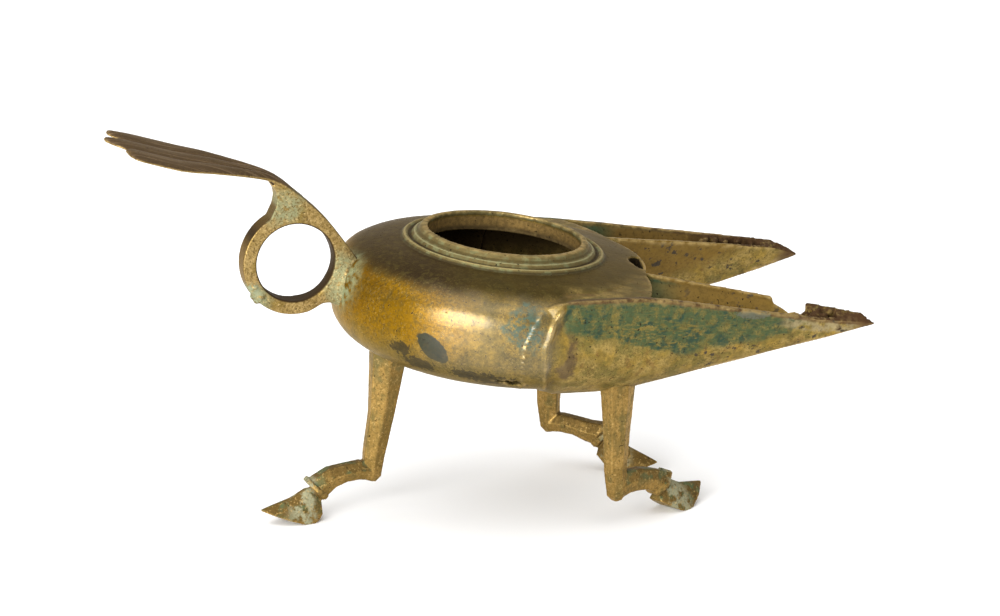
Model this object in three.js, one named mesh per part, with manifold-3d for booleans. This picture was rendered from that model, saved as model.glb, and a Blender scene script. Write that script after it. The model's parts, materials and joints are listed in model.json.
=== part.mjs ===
// A cast bronze oil lamp: a round hollow body on three hoofed legs, with two long pointed
// spouts side by side in front and a finger ring under a leaf-shaped thumb rest behind.
// Millimetres and degrees. +X runs along the spouts, +Y to the lamp's left, +Z up.

import * as THREE from 'three';
import { mergeVertices } from 'three/addons/utils/BufferGeometryUtils.js';
import Module from 'manifold-3d';

const wasm = await Module();
wasm.setup();

// Body. Its own frame is upright, with the middle of the lip's top circle as origin.
const LEAN = 7.1; // the body tips forward, spouts down
const LIP_HEIGHT = 77.6; // lip above the ground
const BODY_RADIUS = 45.6;
const BODY_MIDDLE = -19.2; // level of the widest girth
const BELLY_DEPTH = 18; // from the girth down to the bottom
const SHOULDER_RISE = 16.4; // from the girth up to the crown
const BELLY_FULLNESS = 2.9; // exponents of the rounded profile, 2 is an ellipse
const SHOULDER_FULLNESS = 3.5;
const WALL = 2.2;
const LIP_RADIUS = 22.9;
const HOLE_RADIUS = 21.2;
const MOULDING_RADIUS = 27.4;
const DECK_RADIUS = 39.7; // front edge of the deck, between the spouts
const DECK_FALL = [-3.4, -5.2]; // level of the deck at the mouldings and at its front edge
const DECK_START = 12; // the flat deck lies ahead of this, the rounded shoulder behind it
const DECK_HALF_WIDTH = 30;
const FRONT_START = 20; // the front wall between the spouts is set back ahead of this

// Spouts, in the body's frame. Half widths and places are from the lamp's middle plane.
const SPOUT_ROOT = 1.5;
const SPOUT_SHOULDER = -5; // where the root band meets the round body
const SPOUT_KNEE = 27.5; // above the leg, where the keel starts to rise
const SPOUT_BEAK = 90; // where the walls drop to the point
const CHANNEL_END = 87;
const SPOUT_TIP = 98.2;
const TIP_OFFSET = 33.5;
const TIP_LEVEL = -12.2;
const TIP_HALF_WIDTH = 0.4;
const OUTER_FLARE = 0.118; // sideways run of the walls per millimetre of length
const INNER_FLARE = 0.2665;
const BEAK_THINNING = 0.5; // share of the wall that is left at the beak
const SPOUT_SWELL = [ // how far the walls bulge beyond a straight line from top to keel
  [SPOUT_SHOULDER, 13], [SPOUT_ROOT, 16.5], [SPOUT_KNEE, 9], [60, 2.5], [SPOUT_TIP, 0],
];
const SHOULDER_SINK = 4; // the root dips this far into the body, so that it starts as a soft step
// Levels of the top edges along each spout, which are not quite alike.
const SPOUTS = [
  {
    side: -1,
    outerTop: [[4, -6.2], [30, -5.2], [82, -11.2], [SPOUT_TIP, TIP_LEVEL]],
    innerTop: [[35, -5], [93, -9.6], [SPOUT_TIP, TIP_LEVEL]],
  },
  {
    side: 1,
    outerTop: [[4, -7], [30, -6.8], [86, -8.7], [SPOUT_TIP, TIP_LEVEL]],
    innerTop: [[35, -5], [66, -7.6], [SPOUT_BEAK, -10], [SPOUT_TIP, TIP_LEVEL]],
  },
];
const KEEL_OFFSET = 32.5;
const KEEL_ROOT_LEVEL = -35.8;
const KEEL_KNEE_LEVEL = -34.1;
const ROOF_CENTRE = [-24, 14]; // arc of the roof's edge over each channel
const ROOF_RADIUS = 60;

// Losses, in the body's frame: a gap in the right spout's inner wall, a hole at the deck's
// front edge and a slit corroded through the belly.
const WALL_GAP = { low: [70, -33, -11.5], high: [79, -23, 0] };
const DECK_HOLE = { centre: [37.2, -10], radius: 3.2, depth: 9 };
const BELLY_SLIT = { centre: [-6.9, -39.2, -31.4], size: [7.4, 8, 1.4], slope: 55, turn: 4 };

// Handle, in the middle plane of the standing lamp.
const RING_CENTRE = [-60, 75.1];
const RING_HOLE = 10.9;
const RING_RADIUS = 14.7;
const RING_THICKNESS = 5.8;
const RING_LEAVES = [-58, -242]; // angles where the web's underside and the leaf's fillet leave the ring
const WEB_UNDERSIDE = [[-38, 62], [-51, 62.6]]; // from inside the body out to the ring
const WEB_TOP = [-36, 70];
const FILLET_BEND = [-64.6, 93]; // between the ring and the underside of the leaf
const FILLET_END = [-69, 99.4];
const LEAF_SPINE = [
  [-41, 72.5], [-51.2, 86.9], [-59.6, 94.8], [-67.5, 99.8], [-81.8, 104.5], [-93.6, 107.5], [-112, 113.6],
];
const LEAF_HALF_WIDTH = 14;
const LEAF_SPREAD = [[0.36, 2.9], [0.45, 3.8], [0.63, 10], [0.78, LEAF_HALF_WIDTH]]; // along the spine
const LEAF_THICKNESS = 2.2;
const LEAF_LOBES = [ // side, share of the spine that is left, broken end
  [0, 1, false], [1, 0.965, false], [-1, 0.926, true],
];
const LOBE_OVERLAP = 1.16; // the lobes run into each other, which leaves a groove between them
const LOBE_SECTION = [[-1, 0.15], [-0.5, 0.85], [0.5, 0.85], [1, 0.15], [1, -0.6], [-1, -0.6]];

// Legs. Heights are above the ground, and runs are measured from the hock along the foot.
// The lamp leans, so the rear hoof stands on its heel and the front hooves on their toes.
const THIGH_TOP = 47;
const FOOT_LENGTH = 33.3;
const HEEL = 16.4;
const LEGS = [
  {
    name: 'rear_leg', place: [-36.4, 0], turn: 180, foot: 33.3, lean: -3.2, hock: 9.8,
    contact: [18, 21.6], heelLift: 2, toeLift: 3.8, arch: 13.6,
  },
  {
    name: 'front_leg_right', place: [21.1, -32], turn: 31, foot: 36.8, lean: 2.2, hock: 8.4,
    contact: [22.6, 26.2], heelLift: 4, toeLift: 4.6, arch: 13.4,
  },
  {
    name: 'front_leg_left', place: [21.1, 32], turn: -40, foot: 34.4, lean: 2.2, hock: 8.4,
    contact: [22.6, 26.2], heelLift: 4, toeLift: 3.2, arch: 12,
  },
];

// Reach of the cutting blocks in the body's frame, clear past the body on every side.
const CUT_BELOW = -60;
const CUT_ABOVE = 14;
const CUT_BEYOND = 80;

const GAP = 0.3; // between pieces that meet
const TURNS = 60; // facets round the body

const RADIANS = Math.PI / 180;
const bodyMatrix = new THREE.Matrix4()
  .makeTranslation(0, 0, LIP_HEIGHT)
  .multiply(new THREE.Matrix4().makeRotationY(LEAN * RADIANS));

const mix = (a, b, t) => a + (b - a) * t;

// Straight runs between [position, value] stops, level beyond both ends.
function along(stops, position) {
  const next = stops.findIndex(([at]) => at >= position);
  if (next === 0) return stops[0][1];
  if (next < 0) return stops[stops.length - 1][1];
  const [[from, low], [to, high]] = [stops[next - 1], stops[next]];
  return mix(low, high, (position - from) / (to - from));
}

function solid(geometry) {
  const bare = geometry.clone();
  bare.deleteAttribute('normal');
  bare.deleteAttribute('uv');
  const merged = mergeVertices(bare, 1e-4);
  return new wasm.Manifold(new wasm.Mesh({
    numProp: 3,
    vertProperties: new Float32Array(merged.attributes.position.array),
    triVerts: new Uint32Array(merged.index.array),
  }));
}

function geometryOf(manifold) {
  const { vertProperties, triVerts } = manifold.getMesh();
  const geometry = new THREE.BufferGeometry();
  geometry.setAttribute('position', new THREE.BufferAttribute(vertProperties, 3));
  geometry.setIndex(new THREE.BufferAttribute(triVerts, 1));
  geometry.computeVertexNormals();
  return geometry;
}

// A closed skin over rings of points, each ring turning to the right about the way ahead.
function loft(rings) {
  const count = rings[0].length;
  const last = (rings.length - 1) * count;
  const index = [];
  for (let start = 0; start < last; start += count) {
    for (let j = 0; j < count; j += 1) {
      const a = start + j;
      const b = start + ((j + 1) % count);
      index.push(a, b, a + count, b, b + count, a + count);
    }
  }
  for (let j = 1; j + 1 < count; j += 1) {
    index.push(0, j + 1, j, last, last + j, last + j + 1);
  }
  const geometry = new THREE.BufferGeometry().setFromPoints(rings.flat());
  geometry.setIndex(index);
  return geometry;
}

// An upright round solid turned from [radius, height] points, from the lowest to the highest.
function turned(profile) {
  const points = profile.map(([radius, height]) => new THREE.Vector2(radius, height));
  return new THREE.LatheGeometry(points, TURNS).rotateX(Math.PI / 2);
}

function disc(radius, low, high, centre = [0, 0]) {
  const geometry = turned([[0, low], [radius, low], [radius, high], [0, high]]);
  return geometry.translate(centre[0], centre[1], 0);
}

function block(low, high) {
  const size = high.map((value, axis) => value - low[axis]);
  const middle = high.map((value, axis) => (value + low[axis]) / 2);
  return new THREE.BoxGeometry(...size).translate(...middle);
}

const inBody = (geometry) => solid(geometry.applyMatrix4(bodyMatrix));

// The round body's profile as [radius, height], grown outwards by a few tenths or shrunk
// by the wall, from the bottom up to a least radius on the crown.
function bodyProfile(grow, crownRadius) {
  const points = [];
  const steps = 22;
  for (let i = 0; i <= steps; i += 1) {
    const angle = mix(-90, 90, i / steps) * RADIANS;
    const power = 2 / (angle < 0 ? BELLY_FULLNESS : SHOULDER_FULLNESS);
    const rise = (angle < 0 ? BELLY_DEPTH : SHOULDER_RISE) + grow;
    const radius = (BODY_RADIUS + grow) * Math.abs(Math.cos(angle)) ** power;
    const height = BODY_MIDDLE + rise * Math.sign(angle) * Math.abs(Math.sin(angle)) ** power;
    if (angle < 0 || radius > crownRadius) points.push([radius < 1e-3 ? 0 : radius, height]);
  }
  return points;
}

// Two raised rings and the lip, stepping inwards and up from the deck to the hole.
function rimProfile(grow) {
  return [
    [MOULDING_RADIUS + 0.6, -3.5], [MOULDING_RADIUS, -2.6], [MOULDING_RADIUS - 1.2, -2.5],
    [MOULDING_RADIUS - 1.9, -3], [LIP_RADIUS + 1.7, -2.4], [LIP_RADIUS + 0.8, -1.1],
    [LIP_RADIUS, 0], [0, 0],
  ].map(([radius, height]) => [radius > 0 ? radius + grow : 0, height + grow]);
}

const SPOUT_STATIONS = [SPOUT_SHOULDER, SPOUT_ROOT, 14, SPOUT_KNEE, 44, 60, 76, SPOUT_BEAK, SPOUT_TIP];
const WALL_STEPS = 6;

// One cross-section of a spout: a pointed hull whose walls bulge like the body at the root.
// A wall moves its sides inwards by that thickness, and a roof level replaces its top edges.
function spoutRing(x, { side, outerTop, innerTop }, wall, roof) {
  const fromTip = SPOUT_TIP - x;
  const inset = wall * along([[SPOUT_KNEE, 1], [SPOUT_BEAK, BEAK_THINNING]], x);
  const keel = along([[SPOUT_ROOT, KEEL_ROOT_LEVEL], [SPOUT_KNEE, KEEL_KNEE_LEVEL],
    [SPOUT_TIP, TIP_LEVEL - 0.8]], x);
  const keelOffset = along([[SPOUT_KNEE, KEEL_OFFSET], [SPOUT_TIP, TIP_OFFSET]], x);
  const swell = along(SPOUT_SWELL, x);
  const sunk = x < SPOUT_ROOT ? SHOULDER_SINK : 0;
  const outer = TIP_OFFSET + OUTER_FLARE * fromTip + TIP_HALF_WIDTH - inset - sunk;
  const inner = TIP_OFFSET - INNER_FLARE * fromTip - TIP_HALF_WIDTH + inset;
  const drop = Math.max(inset, 0) + sunk;
  const outerLevel = along(outerTop, x) - drop;
  const innerLevel = along(innerTop, x) - drop;
  const bottom = Math.min(keel + 1.5 * inset + sunk, outerLevel - 0.2, innerLevel - 0.2);
  const points = [];
  if (roof !== undefined) points.push([outer, roof], [inner, roof]);
  for (let i = 0; i <= 2 * WALL_STEPS; i += 1) {
    const down = 1 - Math.abs(i / WALL_STEPS - 1);
    const bulge = swell * down * (1 - down ** 4);
    const [edge, level, out] = i < WALL_STEPS ? [inner, innerLevel, -0.4] : [outer, outerLevel, 1];
    points.push([mix(edge, keelOffset, down) + out * bulge, mix(level, bottom, down)]);
  }
  const ring = points.map(([y, z]) => new THREE.Vector3(x, side * y, z));
  return side > 0 ? ring : ring.reverse();
}

function spout(shape, wall, stations, roof) {
  return inBody(loft(stations.map((x) => spoutRing(x, shape, wall, roof))));
}

// What is cut away between the spouts, ahead of a round front wall of that radius.
function crotch(radius) {
  const ahead = block([FRONT_START, -KEEL_OFFSET, CUT_BELOW], [CUT_BEYOND, KEEL_OFFSET, CUT_ABOVE]);
  return solid(ahead).subtract(solid(disc(radius, CUT_BELOW - 1, CUT_ABOVE + 1)));
}

// The closed outer form of body and spouts, grown by a gap where it trims a neighbour.
function bodyForm(grow) {
  const deck = solid(turned([
    [0, BODY_MIDDLE], [DECK_RADIUS + grow, BODY_MIDDLE], [DECK_RADIUS + grow, DECK_FALL[1] + grow],
    [MOULDING_RADIUS, DECK_FALL[0] + grow], [0, DECK_FALL[0] + grow],
  ]));
  const ahead = block([DECK_START, -DECK_HALF_WIDTH, CUT_BELOW], [CUT_BEYOND, DECK_HALF_WIDTH, CUT_ABOVE]);
  const rounded = solid(turned([...bodyProfile(grow, MOULDING_RADIUS + 1), ...rimProfile(grow)]));
  const trimmed = rounded.subtract(crotch(DECK_RADIUS + grow)).add(deck.intersect(solid(ahead)));
  const standing = inBody(geometryOf(trimmed));
  return SPOUTS.reduce((form, shape) => form.add(spout(shape, -grow, SPOUT_STATIONS)), standing);
}

// The empty inside: the round oil space, the filling hole and both channels, which are
// roofed by the deck near the body and open to the sky beyond its edge.
function oilSpace() {
  const room = solid(turned(bodyProfile(-WALL, 0)));
  const hole = solid(disc(HOLE_RADIUS, BODY_MIDDLE, CUT_ABOVE));
  const inside = inBody(geometryOf(room.subtract(crotch(DECK_RADIUS - WALL)).add(hole)));
  const stations = SPOUT_STATIONS.filter((x) => x > SPOUT_ROOT && x < CHANNEL_END);
  stations.push(CHANNEL_END);
  return SPOUTS.reduce((space, shape) => {
    const [x, y] = ROOF_CENTRE;
    const roof = inBody(disc(ROOF_RADIUS, CUT_BELOW, CUT_ABOVE, [x, shape.side * y]));
    const channel = spout(shape, WALL, stations);
    const sky = spout(shape, WALL, stations, CUT_ABOVE - 1).subtract(roof);
    return space.add(channel).add(sky);
  }, inside);
}

function losses() {
  const wallGap = inBody(block(WALL_GAP.low, WALL_GAP.high));
  const deckHole = inBody(disc(DECK_HOLE.radius, -DECK_HOLE.depth, 0, DECK_HOLE.centre));
  const slit = new THREE.BoxGeometry(...BELLY_SLIT.size)
    .rotateZ(BELLY_SLIT.turn * RADIANS)
    .rotateX(BELLY_SLIT.slope * RADIANS)
    .translate(...BELLY_SLIT.centre);
  return wallGap.add(deckHole).add(inBody(slit));
}

// The finger ring and its web to the body, a flat plate cut along the leaf's spine.
function ringPlate(spine) {
  const [cx, cz] = RING_CENTRE;
  const outline = new THREE.Shape();
  outline.moveTo(...WEB_UNDERSIDE[0]);
  outline.lineTo(...WEB_UNDERSIDE[1]);
  outline.absarc(cx, cz, RING_RADIUS, RING_LEAVES[0] * RADIANS, RING_LEAVES[1] * RADIANS, true);
  outline.quadraticCurveTo(...FILLET_BEND, ...FILLET_END);
  spine.getSpacedPoints(14).reverse()
    .filter((p) => p.x > FILLET_END[0])
    .forEach((p) => outline.lineTo(p.x, p.y));
  outline.lineTo(...WEB_TOP);
  const finger = new THREE.Path();
  finger.absarc(cx, cz, RING_HOLE, 0, 2 * Math.PI);
  outline.holes.push(finger);
  const plate = new THREE.ExtrudeGeometry(outline, {
    depth: RING_THICKNESS, bevelEnabled: false, curveSegments: 36,
  });
  return solid(plate.rotateX(Math.PI / 2).translate(0, RING_THICKNESS / 2, 0));
}

// One rib of the leaf: a thin bowed strip that follows the spine, fanning out sideways.
function leafLobe(spine, side, reach, blunt) {
  const rings = [];
  const steps = 13;
  for (let i = 0; i <= steps; i += 1) {
    const t = mix(0.3, reach, i / steps);
    const at = spine.getPointAt(t);
    const ahead = spine.getTangentAt(t);
    const up = new THREE.Vector2(ahead.y, -ahead.x);
    const half = along(LEAF_SPREAD, t);
    const taper = blunt ? 1 : Math.sqrt(Math.min(1, (reach + 0.004 - t) / 0.1));
    const width = (half / LEAF_LOBES.length) * LOBE_OVERLAP * taper;
    const middle = (side * half * 2) / LEAF_LOBES.length;
    const crown = LEAF_THICKNESS * mix(0.35, 0.5, taper);
    rings.push(LOBE_SECTION.map(([across, rise]) => {
      const lift = crown * rise;
      return new THREE.Vector3(at.x + up.x * lift, middle + across * width, at.y + up.y * lift);
    }));
  }
  return solid(loft(rings));
}

function handle(keepOut) {
  const spine = new THREE.SplineCurve(LEAF_SPINE.map(([x, z]) => new THREE.Vector2(x, z)));
  const leaf = LEAF_LOBES.map((lobe) => leafLobe(spine, ...lobe)).reduce((all, lobe) => all.add(lobe));
  return ringPlate(spine).add(leaf).subtract(keepOut);
}

// A six-sided bar through [run, height, half depth, half width] stations, ridged at the sides.
function facetedBar(stations) {
  const rings = stations.map(([run, height, depth, width], i) => {
    const before = stations[Math.max(i - 1, 0)];
    const after = stations[Math.min(i + 1, stations.length - 1)];
    const ahead = new THREE.Vector2(after[0] - before[0], after[1] - before[1]).normalize();
    const section = [[1, -0.55], [0, -1], [-1, -0.55], [-1, 0.55], [0, 1], [1, 0.55]];
    return section.map(([front, side]) => new THREE.Vector3(
      run - front * depth * ahead.y, side * width, height + front * depth * ahead.x,
    ));
  });
  return solid(loft(rings));
}

// The hoof: a short flat to stand on, spreading sides, and the toe drawn out and curled up.
function hoof({ contact, heelLift, toeLift }) {
  const soleLine = [[HEEL, heelLift], [contact[0], 0], [contact[1], 0], [FOOT_LENGTH, toeLift]];
  const topLine = [[HEEL, 6.4], [18.4, 9.6], [21, 9.4], [25, 7], [FOOT_LENGTH, toeLift + 0.5]];
  const spread = [[HEEL, 2.4], [18.4, 3.6], [22, 4.6], [26, 4.5], [30, 3], [FOOT_LENGTH, 0.5]];
  const runs = [HEEL, 18.4, ...contact, 30, FOOT_LENGTH].sort((a, b) => a - b);
  return solid(loft(runs.map((run) => {
    const sole = along(soleLine, run);
    const top = along(topLine, run);
    const width = along(spread, run);
    const waist = mix(sole, top, 0.45);
    const section = [
      [-width, sole], [width, sole], [0.85 * width, waist], [0.35 * width, top],
      [-0.35 * width, top], [-0.85 * width, waist],
    ];
    return section.map(([side, height]) => new THREE.Vector3(run, side, height));
  })));
}

function leg(shape, keepOut) {
  const thigh = facetedBar([
    [shape.lean, THIGH_TOP, 4.9, 4.3], [mix(shape.lean, 1.2, 0.5), 29, 3.4, 3.2], [1.3, 17, 2.9, 2.6],
    [2, shape.hock, 2.3, 2.4],
  ]);
  const shank = facetedBar([
    [0.4, shape.hock + 2.4, 2.2, 2.3], [5.5, shape.arch, 2.6, 2.5], [9.4, shape.arch - 0.5, 2.6, 2.6],
    [13.4, shape.arch - 2, 2.8, 2.8], [16.4, 9.8, 3.2, 3], [18.2, 8.4, 3.4, 3.2],
  ]);
  const collar = facetedBar([[17.2, 9.6, 3.8, 3.6], [18.2, 8.6, 3.8, 3.6]]);
  const built = thigh.add(shank).add(collar).add(hoof(shape));
  const placed = geometryOf(built)
    .scale(shape.foot / FOOT_LENGTH, 1, 1)
    .rotateZ(shape.turn * RADIANS)
    .translate(shape.place[0], shape.place[1], 0);
  return solid(placed).subtract(keepOut);
}

function bronze(name, manifold, colour) {
  const material = new THREE.MeshStandardMaterial({ color: colour, roughness: 0.45, metalness: 0.85 });
  const mesh = new THREE.Mesh(geometryOf(manifold), material);
  mesh.name = name;
  return mesh;
}

const lamp = new THREE.Group();
const keepOut = bodyForm(GAP);
lamp.add(bronze('reservoir', bodyForm(0).subtract(oilSpace()).subtract(losses()), 0x8a7440));
lamp.add(bronze('handle', handle(keepOut), 0x94804c));
LEGS.forEach((shape) => lamp.add(bronze(shape.name, leg(shape, keepOut), 0x8f7a45)));

// The origin is on the ground under the middle of the lamp's length.
const bounds = new THREE.Box3().setFromObject(lamp);
lamp.position.set(-(bounds.min.x + bounds.max.x) / 2, -(bounds.min.y + bounds.max.y) / 2, -bounds.min.z);

export default lamp;
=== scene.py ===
# %% [markdown]
# # A bronze lamp on three hoofed legs
# This lamp is a hollow cast body with two pointed spouts, a finger ring under a leaf-shaped
# thumb rest, and three legs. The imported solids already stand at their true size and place. Here
# each one gets a finer twin: crisp mouldings, soft fillets, broken edges and a worn green-gold skin.
# All the shapes below are drawn in millimetres and shrunk to metres when they are done.

# %% Load the frame
import json
import math
import random

import bmesh
import bpy
import numpy as np
from mathutils import Euler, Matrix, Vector
from mathutils.bvhtree import BVHTree

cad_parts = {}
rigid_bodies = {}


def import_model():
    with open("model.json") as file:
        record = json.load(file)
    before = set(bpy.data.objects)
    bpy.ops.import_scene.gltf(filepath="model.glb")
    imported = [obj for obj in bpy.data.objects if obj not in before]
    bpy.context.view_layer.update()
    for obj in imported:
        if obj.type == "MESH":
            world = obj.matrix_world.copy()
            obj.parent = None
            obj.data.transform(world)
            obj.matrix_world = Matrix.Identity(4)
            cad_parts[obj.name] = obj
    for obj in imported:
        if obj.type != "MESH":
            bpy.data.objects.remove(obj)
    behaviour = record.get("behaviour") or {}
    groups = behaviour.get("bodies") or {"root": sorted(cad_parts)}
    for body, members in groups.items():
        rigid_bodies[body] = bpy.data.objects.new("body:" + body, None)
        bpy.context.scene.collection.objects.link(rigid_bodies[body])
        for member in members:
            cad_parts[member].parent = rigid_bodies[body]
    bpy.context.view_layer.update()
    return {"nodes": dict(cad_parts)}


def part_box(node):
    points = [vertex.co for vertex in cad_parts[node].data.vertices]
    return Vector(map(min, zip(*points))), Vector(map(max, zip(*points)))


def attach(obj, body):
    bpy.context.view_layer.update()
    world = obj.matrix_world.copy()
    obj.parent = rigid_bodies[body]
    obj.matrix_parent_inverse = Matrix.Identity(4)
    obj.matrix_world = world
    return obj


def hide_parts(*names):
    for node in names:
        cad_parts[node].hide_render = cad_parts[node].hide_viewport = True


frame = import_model()
MM = 0.001
print("nodes:", sorted(frame["nodes"]))

# %% [markdown]
# ## Where the body stands
# The body tips forward by a few degrees, so it is drawn upright in a frame of its own, whose origin
# is the middle of the lip, and turned once at the end. The tip of a spout is the foremost point of
# the whole lamp, which tells how far that frame is from the lamp's own middle.

# %% The body's own frame
LEAN = math.radians(7.1)
LIP_HEIGHT = 77.6
SPOUT_TIP = 98.2
TIP_LEVEL = -12.2
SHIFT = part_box("reservoir")[1].x / MM - SPOUT_TIP * math.cos(LEAN) - TIP_LEVEL * math.sin(LEAN)
BODY_PLACE = (SHIFT, 0, LIP_HEIGHT)
print(f"body frame: {SHIFT:.2f} mm ahead of the middle, lip {LIP_HEIGHT} mm up")


# %% [markdown]
# ## A few hand tools
# Most of this lamp is made in three ways. A turned form is a line of points spun round an axis. A
# drawn-out form starts as one flat face that is extruded again and again, each new end moved to its
# own outline. And forms are cut from each other with the Boolean modifier.

# %% Selecting and applying
def pick(piece):
    """Leaves edit mode and selects one piece alone, or nothing."""
    if bpy.context.object and bpy.context.object.mode == "EDIT":
        bpy.ops.object.mode_set(mode="OBJECT")
    bpy.ops.object.select_all(action="DESELECT")
    if piece:
        piece.select_set(True)
        bpy.context.view_layer.objects.active = piece


def use(piece, kind, **settings):
    """Adds a modifier, sets it up and applies it at once."""
    pick(piece)
    step = piece.modifiers.new(kind.title(), kind)
    for name, value in settings.items():
        setattr(step, name, value)
    bpy.ops.object.modifier_apply(modifier=step.name)


def combine(piece, tool, operation):
    use(piece, "BOOLEAN", operation=operation, object=tool, solver="MANIFOLD")


def cut(piece, tool, operation="DIFFERENCE"):
    """Cuts a tool from a piece, or joins it on, and throws the tool away."""
    combine(piece, tool, operation)
    bpy.data.objects.remove(tool)


def move(piece, place, turn=(0, 0, 0), scale=(1, 1, 1)):
    """Moves a piece and keeps the change in its mesh."""
    pick(piece)
    piece.location = place
    piece.rotation_euler = turn
    piece.scale = scale
    bpy.ops.object.transform_apply(location=True, rotation=True, scale=True)


def copied(piece, name):
    """A copy with a mesh of its own."""
    twin = piece.copy()
    twin.data = piece.data.copy()
    twin.name = name
    bpy.context.scene.collection.objects.link(twin)
    return twin


# %% Drawing out and turning
SPIN_STEPS = 144
MERGE_DISTANCE = 0.001


def close_skin():
    """Merges what lies together, points every face outwards and leaves edit mode."""
    bpy.ops.mesh.select_all(action="SELECT")
    bpy.ops.mesh.remove_doubles(threshold=MERGE_DISTANCE)
    bpy.ops.mesh.normals_make_consistent(inside=False)
    bpy.ops.object.mode_set(mode="OBJECT")


def drawn_out(name, rings):
    """One filled outline, extruded from ring to ring."""
    pick(None)
    bpy.ops.mesh.primitive_circle_add(vertices=len(rings[0]), fill_type="NGON", enter_editmode=True)
    piece = bpy.context.object
    piece.name = name
    for number, ring in enumerate(rings):
        if number:
            bpy.ops.mesh.extrude_region()
        end = next(face for face in bmesh.from_edit_mesh(piece.data).faces if face.select)
        for corner, point in zip(end.verts, ring):
            corner.co = point
    close_skin()
    return piece


def turned(name, profile):
    """A line of [radius, height] points, spun round the upright axis."""
    pick(None)
    bpy.ops.mesh.primitive_circle_add(vertices=len(profile), fill_type="NOTHING", enter_editmode=True)
    piece = bpy.context.object
    piece.name = name
    line = bmesh.from_edit_mesh(piece.data)
    line.verts.ensure_lookup_table()
    for corner, (radius, level) in zip(line.verts, profile):
        corner.co = (radius, 0, level)
    for edge in line.edges:
        edge.select_set({corner.index for corner in edge.verts} == {0, len(profile) - 1})
    line.select_flush_mode()
    bpy.ops.mesh.delete(type="EDGE")
    bpy.ops.mesh.select_all(action="SELECT")
    bpy.ops.mesh.spin(steps=SPIN_STEPS, angle=2 * math.pi, center=(0, 0, 0), axis=(0, 0, 1))
    close_skin()
    return piece


def cylinder(name, radius, low, high, centre=(0, 0)):
    tool = turned(name, [(0, low), (radius, low), (radius, high), (0, high)])
    move(tool, (*centre, 0))
    return tool


def box(name, low, high):
    """A block between two corners: a cube that is scaled and moved."""
    pick(None)
    low, high = Vector(low), Vector(high)
    bpy.ops.mesh.primitive_cube_add(size=1)
    piece = bpy.context.object
    piece.name = name
    move(piece, (low + high) / 2, scale=high - low)
    return piece


# %% Sums along a line
def mix(a, b, t):
    return a + (b - a) * t


def along(stops, position):
    """Straight runs between [position, value] stops."""
    return float(np.interp(position, *zip(*stops)))


def smooth(low, high, value):
    """Climbs softly from 0 at low to 1 at high."""
    t = min(max((value - low) / (high - low), 0), 1)
    return t * t * (3 - 2 * t)


# %% [markdown]
# ## The round body
# The real body was cast hollow over a core, and its outline is a soft squarish round, fuller than
# an ellipse. A superellipse gives that outline with one exponent. The mouldings round the mouth are
# a few more points on the same line, so one spin makes body and rim together.

# %% Profile of the body
BODY_RADIUS = 45.6
BODY_MIDDLE = -19.2
BELLY_DEPTH = 18
SHOULDER_RISE = 16.4
BELLY_FULLNESS = 2.9
SHOULDER_FULLNESS = 3.5
WALL = 2.2
HOLE_RADIUS = 21.2
MOULDING_RADIUS = 27.4
PROFILE_STEPS = 64
ON_AXIS = 0.01
RIM = [
    (29.2, -3.86), (28.5, -3.72), (28.1, -3.5), (27.8, -2.9), (27.4, -2.55), (26.9, -2.5),
    (26.5, -2.75), (26.2, -3.05), (25.8, -3.1), (25.4, -2.9), (25.2, -2.3), (24.9, -1.95),
    (24.4, -1.85), (23.9, -1.6), (23.5, -1.05), (23.2, -0.4), (22.95, -0.1), (22.6, 0), (0, 0),
]


def round_profile(inset, crown):
    """The body's line from its underside up to the crown's radius, one inset inside the skin."""
    points = []
    for i in range(PROFILE_STEPS + 1):
        angle = mix(-math.pi / 2, math.pi / 2, i / PROFILE_STEPS)
        below = angle < 0
        power = 2 / (BELLY_FULLNESS if below else SHOULDER_FULLNESS)
        rise = (BELLY_DEPTH if below else SHOULDER_RISE) - inset
        radius = (BODY_RADIUS - inset) * max(math.cos(angle), 0) ** power
        level = BODY_MIDDLE + rise * math.copysign(abs(math.sin(angle)) ** power, angle)
        if below or radius > crown:
            points.append((radius if radius > ON_AXIS else 0, level))
    return points


reservoir = turned("reservoir", round_profile(0, RIM[0][0]) + RIM)
print("turned body:", len(reservoir.data.polygons), "faces")

# %% [markdown]
# ## The deck
# Ahead of the mouth the shoulder doesn't fall away: it runs out flat as a deck between the spouts.
# A deck of its own would leave a seam, so the spun skin is lifted there, more and more towards the
# front, as if pulled up by hand.

# %% Lift the deck
DECK_RADIUS = 39.7
DECK_INNER = MOULDING_RADIUS + 1.5
DECK_LOWEST = BODY_MIDDLE + 6
DECK_FALL = [(MOULDING_RADIUS, -3.5), (DECK_RADIUS, -5.2), (BODY_RADIUS, -8)]
DECK_START = (2, 18)


def lift_deck(body):
    lifted = 0
    for vertex in body.data.vertices:
        radius = math.hypot(vertex.co.x, vertex.co.y)
        if vertex.co.z > DECK_LOWEST and radius > DECK_INNER:
            level = along(DECK_FALL, radius)
            share = smooth(*DECK_START, vertex.co.x)
            vertex.co.z = max(vertex.co.z, mix(vertex.co.z, level, share))
            lifted += share > 0
    print("deck: lifted at", lifted, "points")


lift_deck(reservoir)

# %% [markdown]
# ## The spouts
# Each spout is a pointed hull, like the front half of a boat: it swells like the body where it
# starts, and its walls run out straight to the beak. Every section is worked out from the same few
# levels, then extruded from the root to the tip. The first sections are sunk into the body, so that
# the hull grows out of it without a step.

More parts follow.
